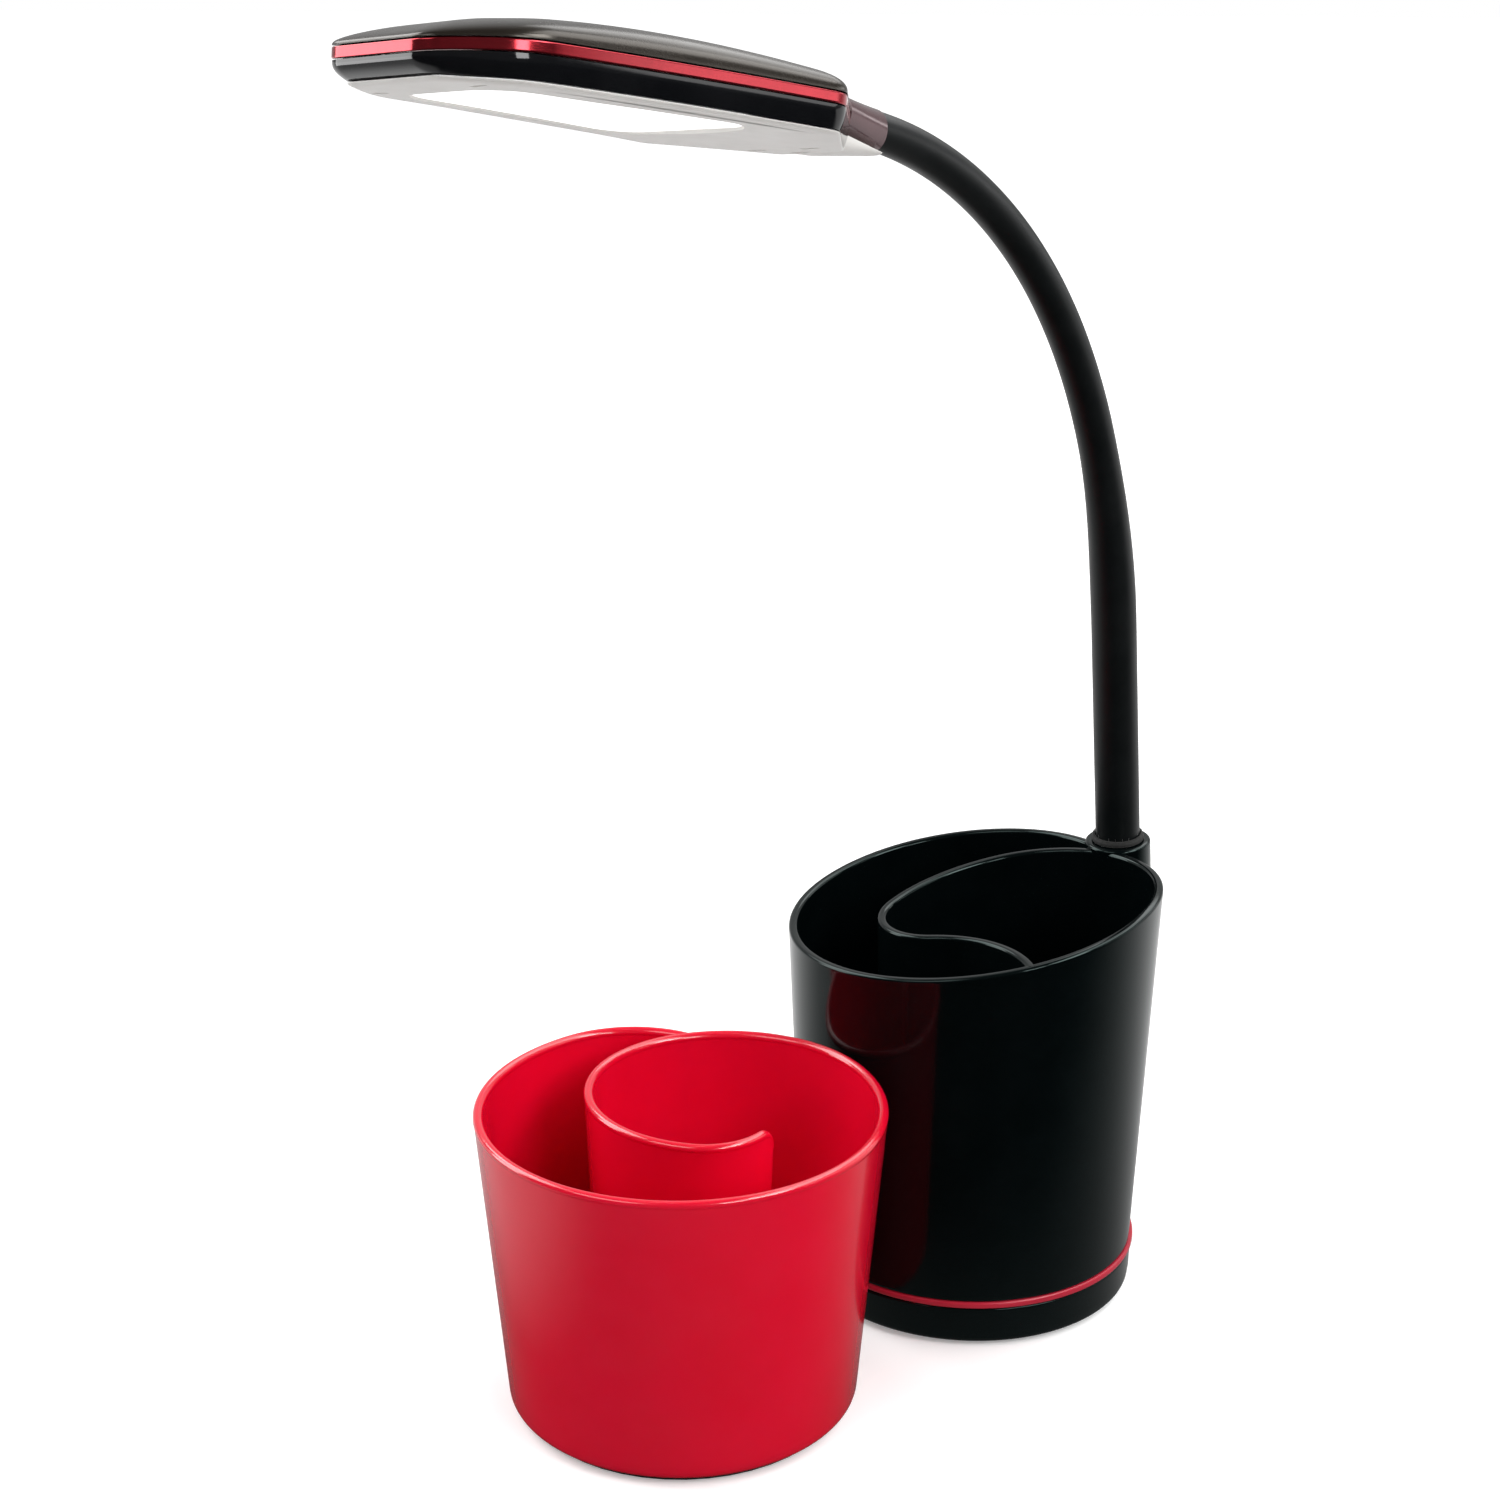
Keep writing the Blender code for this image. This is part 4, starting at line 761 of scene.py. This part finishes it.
def make_socket():
    """The socket behind the pot's wall, with a rounded lip round the neck."""
    top = (SOCKET_TOP - NECK_START) / math.cos(NECK_LEAN)
    foot, tangent = on_neck(-SOCKET_FOOT_DROP)
    tail_level = foot.z - SOCKET_TAIL_DROP
    bearing = math.atan2(foot.y, foot.x)
    tail_reach = base_radius(tail_level) - POT_WALL - SOCKET_RADIUS
    tail = Vector((tail_reach * math.cos(bearing), tail_reach * math.sin(bearing), tail_level))
    bore = STEM_RADIUS + SEAT_GAP
    rings = [(tail, UP, SOCKET_TAIL_RADIUS), (foot, tangent, SOCKET_RADIUS)]
    for angle in quarter(5):
        spot = on_neck(top - SOCKET_LIP * (1 - math.sin(angle)))[0]
        rings.append((spot, tangent, SOCKET_RADIUS - SOCKET_LIP * (1 - math.cos(angle))))
    for angle in quarter(4):
        spot = on_neck(top - SOCKET_LIP / 2 * (1 - math.cos(angle)))[0]
        rings.append((spot, tangent, bore + SOCKET_LIP / 2 * (1 - math.sin(angle))))
    rings.append((on_neck(top - SOCKET_BORE_DEPTH)[0], tangent, bore))
    return tube(rings, SOCKET_STEPS)


# Head
def fillet_outline(corners, steps):
    """A closed outline with rounded corners and evenly spaced points on its straight runs."""
    arcs = []
    count = len(corners)
    for k in range(count):
        here = Vector(corners[k][:2])
        before = (Vector(corners[k - 1][:2]) - here).normalized()
        after = (Vector(corners[(k + 1) % count][:2]) - here).normalized()
        half = math.acos(max(-1.0, min(1.0, before.dot(after)))) / 2
        rounding = corners[k][2]
        centre = here + (before + after).normalized() * (rounding / math.sin(half))
        start = here + before * (rounding / math.tan(half)) - centre
        end = here + after * (rounding / math.tan(half)) - centre
        first = math.atan2(start.y, start.x)
        sweep = (math.atan2(end.y, end.x) - first + math.pi) % math.tau - math.pi
        angles = [first + sweep * step / steps for step in range(steps + 1)]
        arcs.append([centre + Vector((math.cos(angle), math.sin(angle))) * rounding for angle in angles])
    points = []
    for k in range(count):
        points += arcs[k]
        start, end = arcs[k][-1], arcs[(k + 1) % count][0]
        between = round((end - start).length / OUTLINE_SPACING)
        points += [start.lerp(end, step / between) for step in range(1, between)]
    return points


def mirrored(near_side):
    """Corners of one side, followed by their mirror images."""
    return list(near_side) + [(x, -y, rounding) for x, y, rounding in reversed(near_side)]


def inset(points, distance):
    """The outline moved inwards by a distance, or by a distance that depends on u."""
    count = len(points)
    area = sum(points[k - 1].x * points[k].y - points[k].x * points[k - 1].y for k in range(count))
    hand = math.copysign(1, area)
    moved = []
    for k in range(count):
        along = points[(k + 1) % count] - points[k - 1]
        reach = distance(points[k].x) if callable(distance) else distance
        moved.append(points[k] + Vector((-along.y, along.x)).normalized() * hand * reach)
    return moved


def arched(u, level):
    """The level on the arched head; the arch is highest near the nose."""
    return level - HEAD_ARCH * ((u - HEAD_ARCH_CENTRE) / HEAD_ARCH_CENTRE) ** 2


def crown_share(u):
    """The crown's share of its height, less towards both ends."""
    middle = (HEAD_TAIL + HEAD_LENGTH) / 2
    return 1 - (1 - CROWN_END_SHARE) * ((u - middle) / (HEAD_LENGTH - middle)) ** 2


def nose_share(u):
    """0 up to the nose, and rising to 1 at its tip."""
    return min(1.0, max(0.0, (u - NOSE_START) / (HEAD_LENGTH - NOSE_START))) ** 2


def drooping(level):
    """A level that comes down towards the nose."""
    return lambda u: level - NOSE_DROOP * nose_share(u)


def tucked(u, fall):
    """How far the side stands in from the outline; it tucks in further under the nose."""
    return SIDE_TUCK * fall ** TUCK_POWER + NOSE_TUCK * nose_share(u) * fall ** 3


def toward_spine(point, share):
    """A point of the outline drawn in towards the crown's spine."""
    spine_u = min(max(point.x, SPINE_START), SPINE_END)
    return Vector((point.x + (spine_u - point.x) * share, point.y * (1 - share)))


def head_world():
    """The head's frame: along it, to its near side, and up."""
    level_up = HEAD_ALONG.cross(NECK_SIDE)
    near = NECK_SIDE * math.cos(HEAD_ROLL) + level_up * math.sin(HEAD_ROLL)
    top = HEAD_ALONG.cross(near)
    return Matrix.Translation(PATH[-1] + HEAD_ALONG * SEAT_GAP) @ Matrix((
        (HEAD_ALONG.x, near.x, top.x, 0), (HEAD_ALONG.y, near.y, top.y, 0),
        (HEAD_ALONG.z, near.z, top.z, 0), (0, 0, 0, 1),
    ))


HEAD_WORLD = head_world()
OUTLINE = inset(fillet_outline(mirrored(HEAD_CORNERS), 14), SKIN)
WINDOW = fillet_outline(mirrored(PANEL_CORNERS), 10)


def placed(loops, closed=False, capped=False):
    """World points and faces of loops stacked in the head's frame; a loop is (outline, level or levels)."""
    points = []
    around = len(loops[0][0])
    for outline, level in loops:
        for point in outline:
            here = level(point.x) if callable(level) else level
            points.append(HEAD_WORLD @ Vector((point.x, point.y, arched(point.x, here))))
    faces = grid_faces(len(loops), around, closed_rows=closed)
    if capped:
        faces.append(tuple(range(around)))
        faces.append(tuple((len(loops) - 1) * around + k for k in range(around)))
    return points, faces


def make_crown():
    """The crown, from its lower edge up to the spine."""
    loops = [(inset(OUTLINE, CROWN_WALL), drooping(CROWN_BOTTOM))]
    for angle in quarter(CROWN_STEPS):
        share = (1 - math.cos(angle)) ** CROWN_EASE
        rise = (1 - (1 - share) ** CROWN_POWER) ** (1 / CROWN_POWER)
        outline = [toward_spine(point, share) for point in OUTLINE]
        loops.append((outline, lambda u, rise=rise: (
            drooping(CROWN_BOTTOM)(u) + (CROWN_HEIGHT - SKIN) * rise * crown_share(u)
        )))
    add_piece("crown_shell", *placed(loops), CROWN_BLACK_WARM_SHEEN, "head", ["head_top_shell"], 60, "gloss_black")


def make_stripe():
    """The red band between crown and side, flat in its middle with rounded edges."""
    band = [(STRIPE_DEPTH, STRIPE_TOP)]
    for angle in quarter(3):
        band.append((HEAD_EDGE * (1 - math.sin(angle)), STRIPE_TOP - HEAD_EDGE * (1 - math.cos(angle))))
    band += [(0, STRIPE_TOP - STRIPE_FLAT_INSET), (0, STRIPE_BOTTOM + STRIPE_FLAT_INSET)]
    for angle in quarter(3):
        band.append((HEAD_EDGE * (1 - math.cos(angle)), STRIPE_BOTTOM + HEAD_EDGE * (1 - math.sin(angle))))
    band += [(STRIPE_DEPTH, STRIPE_BOTTOM)]
    loops = [(inset(OUTLINE, distance), drooping(level)) for distance, level in band]
    whole = placed(loops, closed=True)
    add_piece("stripe_band", *whole, STRIPE_RED, "head", ["head_stripe"], 50, "gloss_red")


def make_side():
    """The wall under the stripe, which tucks in towards the tray."""
    loops = [(inset(OUTLINE, SIDE_WALL), drooping(SIDE_TOP))]
    for k in range(SIDE_STEPS + 1):
        fall = k / SIDE_STEPS
        loops.append((
            inset(OUTLINE, lambda u, fall=fall: HEAD_EDGE / 2 * (1 - fall) + tucked(u, fall)),
            lambda u, fall=fall: drooping(SIDE_TOP)(u) * (1 - fall) + SIDE_BOTTOM * fall,
        ))
    loops.append((inset(OUTLINE, lambda u: tucked(u, 1) + SIDE_WALL), SIDE_BOTTOM))
    add_piece("side_band", *placed(loops), HEAD_BLACK, "head", ["head_side_shell"], 50, "gloss_black")


def make_tray():
    """The pale underside, with the opening for the panel and the four slots."""
    loops = []
    for angle in quarter(10):
        share, fall = 1 - math.cos(angle), math.sin(angle)
        outline = inset(OUTLINE, lambda u, share=share: (
            tucked(u, 1) + TRAY_TUCK * share * (1 - (1 - NOSE_TRAY_SHARE) * nose_share(u))
        ))
        loops.append((outline, TRAY_TOP - TRAY_HEIGHT * fall))
    tray = add_piece(
        "tray_dish", *placed(loops, capped=True), PALE_PLASTIC, "head", ["head_tray"], 50, "pale_grey"
    )
    opening = inset(WINDOW, -SEAT_GAP)
    hollows = [placed([(opening, TRAY_BOTTOM - OVERRUN), (opening, TRAY_TOP + OVERRUN)], capped=True)]
    for u, out, length in SLOTS:
        for hand in (1, -1):
            low, high = sorted((hand * (out - length / 2), hand * (out + length / 2)))
            far = u + SLOT_WIDTH
            slot = [Vector(pair) for pair in ((u, low), (far, low), (far, high), (u, high))]
            levels = (TRAY_BOTTOM - OVERRUN, TRAY_BOTTOM + SLOT_DEPTH)
            hollows.append(placed([(slot, level) for level in levels], capped=True))
    cut(tray, add_piece("cutter", *joined(*hollows), PALE_PLASTIC, None))


def make_diffuser():
    """The lit panel in the tray's opening, with a hidden flange behind the tray."""
    face = TRAY_BOTTOM + PANEL_RECESS
    flange = inset(WINDOW, -PANEL_FLANGE)
    loops = []
    for angle in quarter(4):
        outline = inset(WINDOW, PANEL_EDGE * (1 - math.sin(angle)))
        loops.append((outline, face + PANEL_EDGE * (1 - math.cos(angle))))
    loops.append((WINDOW, face + PANEL_DEPTH))
    loops += [(flange, face + PANEL_FLANGE_BOTTOM), (flange, face + PANEL_FLANGE_TOP)]
    add_piece(
        "diffuser_panel", *placed(loops, capped=True), DIFFUSER, "head", ["diffuser"], 50, "diffuser_white"
    )


def tongue_top(u):
    """The level between tongue and sleeve; it runs from below the neck's end to the tray."""
    tip = -SLEEVE_RADIUS - SEAT_GAP
    root = arched(HEAD_TAIL, TRAY_BOTTOM + TONGUE_THICKNESS) + TONGUE_RISE
    return tip + (root - tip) * min(1.0, u / HEAD_TAIL)


def make_tongue():
    """The tray's pale tongue under the sleeve."""
    run = HEAD_TAIL - TONGUE_START
    root_thickness = TONGUE_THICKNESS + TONGUE_RISE
    spots = [TONGUE_START + run * k / TONGUE_ROWS for k in range(TONGUE_ROWS + 1)]
    spots.append(HEAD_TAIL + TONGUE_INSIDE)
    points = []
    for u in spots:
        share = min(1.0, (u - TONGUE_START) / run)
        half = TONGUE_START_HALF + (TONGUE_ROOT_HALF - TONGUE_START_HALF) * share
        thickness = TONGUE_START_THICKNESS + (root_thickness - TONGUE_START_THICKNESS) * share
        for k in range(TONGUE_STEPS + 1):
            across = math.cos(math.pi * k / TONGUE_STEPS)
            sag = math.sqrt(max(0.0, 1 - abs(across) ** 3))
            points.append(HEAD_WORLD @ Vector((u, half * across, tongue_top(u) - thickness * sag)))
    around = TONGUE_STEPS + 1
    faces = grid_faces(len(spots), around)
    faces += [tuple(range(around)), tuple((len(spots) - 1) * around + k for k in range(around))]
    add_piece("tray_tongue", points, faces, PALE_PLASTIC, "head", [], 50, "pale_grey")


def make_sleeve():
    """The sleeve, round at the neck and squarer and wider at the head; its mauve colour is a painted sheen on
    glossy black.
    """
    crown = arched(HEAD_TAIL, CROWN_BOTTOM + CROWN_HEIGHT * SLEEVE_RISE_SHARE)
    points = []
    for row in range(SLEEVE_ROWS + 1):
        share = row / SLEEVE_ROWS
        u = (HEAD_TAIL - SEAT_GAP) * share
        half = SLEEVE_RADIUS + (HEAD_TAIL_HALF - SEAT_GAP - SLEEVE_RADIUS) * share
        low = tongue_top(u) + SEAT_GAP
        high = SLEEVE_RADIUS + (crown - SLEEVE_RADIUS) * share
        squareness = 1.0 - SLEEVE_SQUARING * share
        middle, reach = (low + high) / 2, (high - low) / 2
        for k in range(SLEEVE_STEPS):
            angle = math.tau * k / SLEEVE_STEPS
            across, rise = math.cos(angle), math.sin(angle)
            points.append(HEAD_WORLD @ Vector((
                u, half * math.copysign(abs(across) ** squareness, across),
                middle + reach * math.copysign(abs(rise) ** squareness, rise),
            )))
    last = SLEEVE_ROWS * SLEEVE_STEPS
    faces = grid_faces(SLEEVE_ROWS + 1, SLEEVE_STEPS)
    faces += [tuple(range(SLEEVE_STEPS)), tuple(last + k for k in reversed(range(SLEEVE_STEPS)))]
    add_piece("sleeve_shell", points, faces, SLEEVE_MAUVE_SHEEN, "head", ["head_sleeve"], 50, "gloss_black")


# Organiser cup
def cup_plan():
    """Stations along the cup's wall; the entry arc starts where it meets the curl."""
    curl = curl_arcs(CUP_RADIUS, CUP_CURL_SHARES, CUP_CURL_TURNS)
    entry_radius, curl_radius = CUP_RADIUS * CUP_ENTRY_SHARE, curl[0][0]
    shift, inward = CUP_RADIUS - entry_radius, CUP_RADIUS - curl_radius
    centre = Vector((shift * math.cos(CUP_JOIN_ANGLE), shift * math.sin(CUP_JOIN_ANGLE)))
    other = Vector((inward * math.cos(CUP_LEAVE_ANGLE), inward * math.sin(CUP_LEAVE_ANGLE)))
    apart = other - centre
    reach = (entry_radius ** 2 - curl_radius ** 2 + apart.length_squared) / (2 * apart.length)
    entry_angle = math.atan2(apart.y, apart.x) + math.acos(reach / entry_radius)
    return spiral_plan(
        CUP_RADIUS - SKIN, entry_radius - SKIN, entry_angle, CUP_JOIN_ANGLE, CUP_LEAVE_ANGLE, curl
    )


def make_cup():
    """The red cup: a beaded, curled wall that tapers to a floor with a rounded edge."""
    stations = cup_plan()
    end_x, end_y, _ = stations[-1]
    taper = (CUP_RADIUS + CUP_WALL / 2 - CUP_BOTTOM_RADIUS) / (CUP_HEIGHT - CUP_BOTTOM)

    def levels(x, y):
        """The wall's bottom and top; the top rounds down over the curl's free end."""
        short = max(0.0, 1 - math.hypot(x - end_x, y - end_y) / CUP_END_ROUNDING)
        drop = CUP_END_ROUNDING * (1 - math.sqrt(1 - short ** 2))
        return CUP_BOTTOM + CUP_EDGE_ROUNDING, CUP_HEIGHT - drop

    shell = wall(
        stations, beaded_section(CUP_WALL / 2, CUP_BEAD - SKIN, WALL_EDGE), levels,
        lambda height, _: 1 - taper * (CUP_HEIGHT - height) / CUP_RADIUS, CUP_PLACE,
    )
    radius = CUP_BOTTOM_RADIUS + taper * CUP_EDGE_ROUNDING - SKIN
    profile = [(0, CUP_BOTTOM + CUP_FLOOR), (radius - CUP_FLOOR_INSET, CUP_BOTTOM + CUP_FLOOR)]
    profile += foot_edge(radius, CUP_BOTTOM, CUP_EDGE_ROUNDING, 8) + [(0, CUP_BOTTOM)]
    floor = turned(profile, CUP_PLACE)
    add_piece("cup_shell", *joined(shell, floor), GLOSS_RED, "cup", ["organiser_cup"], 50, "gloss_red")


# Studio
def add_area(name, place, target, size, power):
    """A rectangular lamp that faces its target."""
    light = bpy.data.lights.new(name, "AREA")
    light.shape = "RECTANGLE"
    light.size, light.size_y = size
    light.energy = power
    obj = bpy.data.objects.new(name, light)
    bpy.context.scene.collection.objects.link(obj)
    obj.location = place
    obj.rotation_euler = (Vector(target) - Vector(place)).to_track_quat("-Z", "Y").to_euler()


def ramp_between(tree, value, low, high, at_low, at_high):
    """A smooth step from at_low to at_high as the value goes from low to high."""
    ramp = tree.nodes.new("ShaderNodeMapRange")
    ramp.interpolation_type = "SMOOTHSTEP"
    for socket, number in (("From Min", low), ("From Max", high), ("To Min", at_low), ("To Max", at_high)):
        ramp.inputs[socket].default_value = number
    tree.links.new(value, ramp.inputs["Value"])
    return ramp.outputs["Result"]


def maths(tree, operation, first, second):
    """A Math node of two sockets."""
    node = tree.nodes.new("ShaderNodeMath")
    node.operation = operation
    tree.links.new(first, node.inputs[0])
    tree.links.new(second, node.inputs[1])
    return node.outputs[0]


def make_floor():
    """White paper that stays white into the distance; reflections see it pale behind and dim in front."""
    shape = bmesh.new()
    bmesh.ops.create_grid(shape, x_segments=1, y_segments=1, size=FLOOR_HALF)
    mesh = bpy.data.meshes.new("floor")
    shape.to_mesh(mesh)
    shape.free()
    material = bpy.data.materials.new("floor paper")
    material.use_nodes = True
    tree = material.node_tree
    nodes, links = tree.nodes, tree.links
    nodes.clear()
    path = nodes.new("ShaderNodeLightPath")
    place = nodes.new("ShaderNodeTexCoord")
    axes = nodes.new("ShaderNodeSeparateXYZ")
    links.new(place.outputs["Object"], axes.inputs[0])
    length = nodes.new("ShaderNodeVectorMath")
    length.operation = "LENGTH"
    links.new(place.outputs["Object"], length.inputs[0])

    def paper(tone):
        shader = nodes.new("ShaderNodeBsdfDiffuse")
        shader.inputs["Color"].default_value = (tone, tone, tone, 1)
        return shader.outputs[0]

    def glow(strength):
        shader = nodes.new("ShaderNodeEmission")
        links.new(strength, shader.inputs["Strength"])
        return shader.outputs[0]

    def mixed(share, first, second):
        mix = nodes.new("ShaderNodeMixShader")
        links.new(share, mix.inputs[0])
        links.new(first, mix.inputs[1])
        links.new(second, mix.inputs[2])
        return mix.outputs[0]

    seen = nodes.new("ShaderNodeAddShader")
    links.new(paper(FLOOR_TONE), seen.inputs[0])
    distance = length.outputs["Value"]
    links.new(glow(ramp_between(tree, distance, *FLOOR_GLOW_SPAN, FLOOR_GLOW, 1.0)), seen.inputs[1])
    behind = ramp_between(tree, axes.outputs["Y"], *BEHIND_SPAN, FLOOR_FRONT_MIRRORED, 1.0)
    beside = maths(
        tree, "MULTIPLY", ramp_between(tree, axes.outputs["X"], *BESIDE_SPAN, 0.0, FLOOR_BESIDE_MIRRORED),
        ramp_between(tree, axes.outputs["Y"], *FRONT_SPAN, 0.0, 1.0),
    )
    in_reflections = glow(maths(tree, "MAXIMUM", behind, beside))
    glossy, through = path.outputs["Is Glossy Ray"], path.outputs["Is Transmission Ray"]
    is_reflection = maths(tree, "MAXIMUM", glossy, through)
    lit = mixed(path.outputs["Is Camera Ray"], paper(FLOOR_BOUNCE_TONE), seen.outputs[0])
    out = nodes.new("ShaderNodeOutputMaterial")
    links.new(mixed(is_reflection, lit, in_reflections), out.inputs["Surface"])
    mesh.materials.append(material)
    floor = bpy.data.objects.new("floor", mesh)
    bpy.context.scene.collection.objects.link(floor)
    floor.location.z = -FLOOR_DROP


def make_world():
    """White to the camera; a soft room to everything else, brighter behind the lamp than in front."""
    world = bpy.data.worlds.new("studio")
    bpy.context.scene.world = world
    world.use_nodes = True
    tree = world.node_tree
    nodes, links = tree.nodes, tree.links
    nodes.clear()
    out = nodes.new("ShaderNodeOutputWorld")
    path = nodes.new("ShaderNodeLightPath")
    place = nodes.new("ShaderNodeTexCoord")
    axes = nodes.new("ShaderNodeSeparateXYZ")
    links.new(place.outputs["Generated"], axes.inputs[0])
    room = nodes.new("ShaderNodeBackground")
    links.new(ramp_between(tree, axes.outputs["Y"], *ROOM_SPAN, *ROOM_TONES), room.inputs["Strength"])
    room.inputs["Color"].default_value = (1, 1, 1, 1)
    white = nodes.new("ShaderNodeBackground")
    white.inputs["Color"].default_value = (1, 1, 1, 1)
    white.inputs["Strength"].default_value = 1.0
    mix = nodes.new("ShaderNodeMixShader")
    links.new(path.outputs["Is Camera Ray"], mix.inputs[0])
    links.new(room.outputs[0], mix.inputs[1])
    links.new(white.outputs[0], mix.inputs[2])
    links.new(mix.outputs[0], out.inputs[0])


def make_camera():
    """The camera from which the photo was taken."""
    data = bpy.data.cameras.new("camera")
    data.sensor_width = SENSOR_WIDTH_MM
    data.lens = SENSOR_WIDTH_MM * FOCAL_LENGTH_PX / PHOTO_WIDTH_PX
    camera = bpy.data.objects.new("camera", data)
    bpy.context.scene.collection.objects.link(camera)
    camera.location = CAMERA_PLACE
    camera.rotation_euler = (CAMERA_TILT, 0, CAMERA_TURN)
    bpy.context.scene.camera = camera


paint_plain_nodes()
make_pot()
make_ring()
make_housing()
make_neck()
make_crown()
make_stripe()
make_side()
make_tray()
make_diffuser()
make_tongue()
make_sleeve()
make_cup()
make_floor()
make_world()
for lamp in LAMPS:
    add_area(*lamp)
make_camera()
bpy.context.scene.view_settings.view_transform = "Standard"
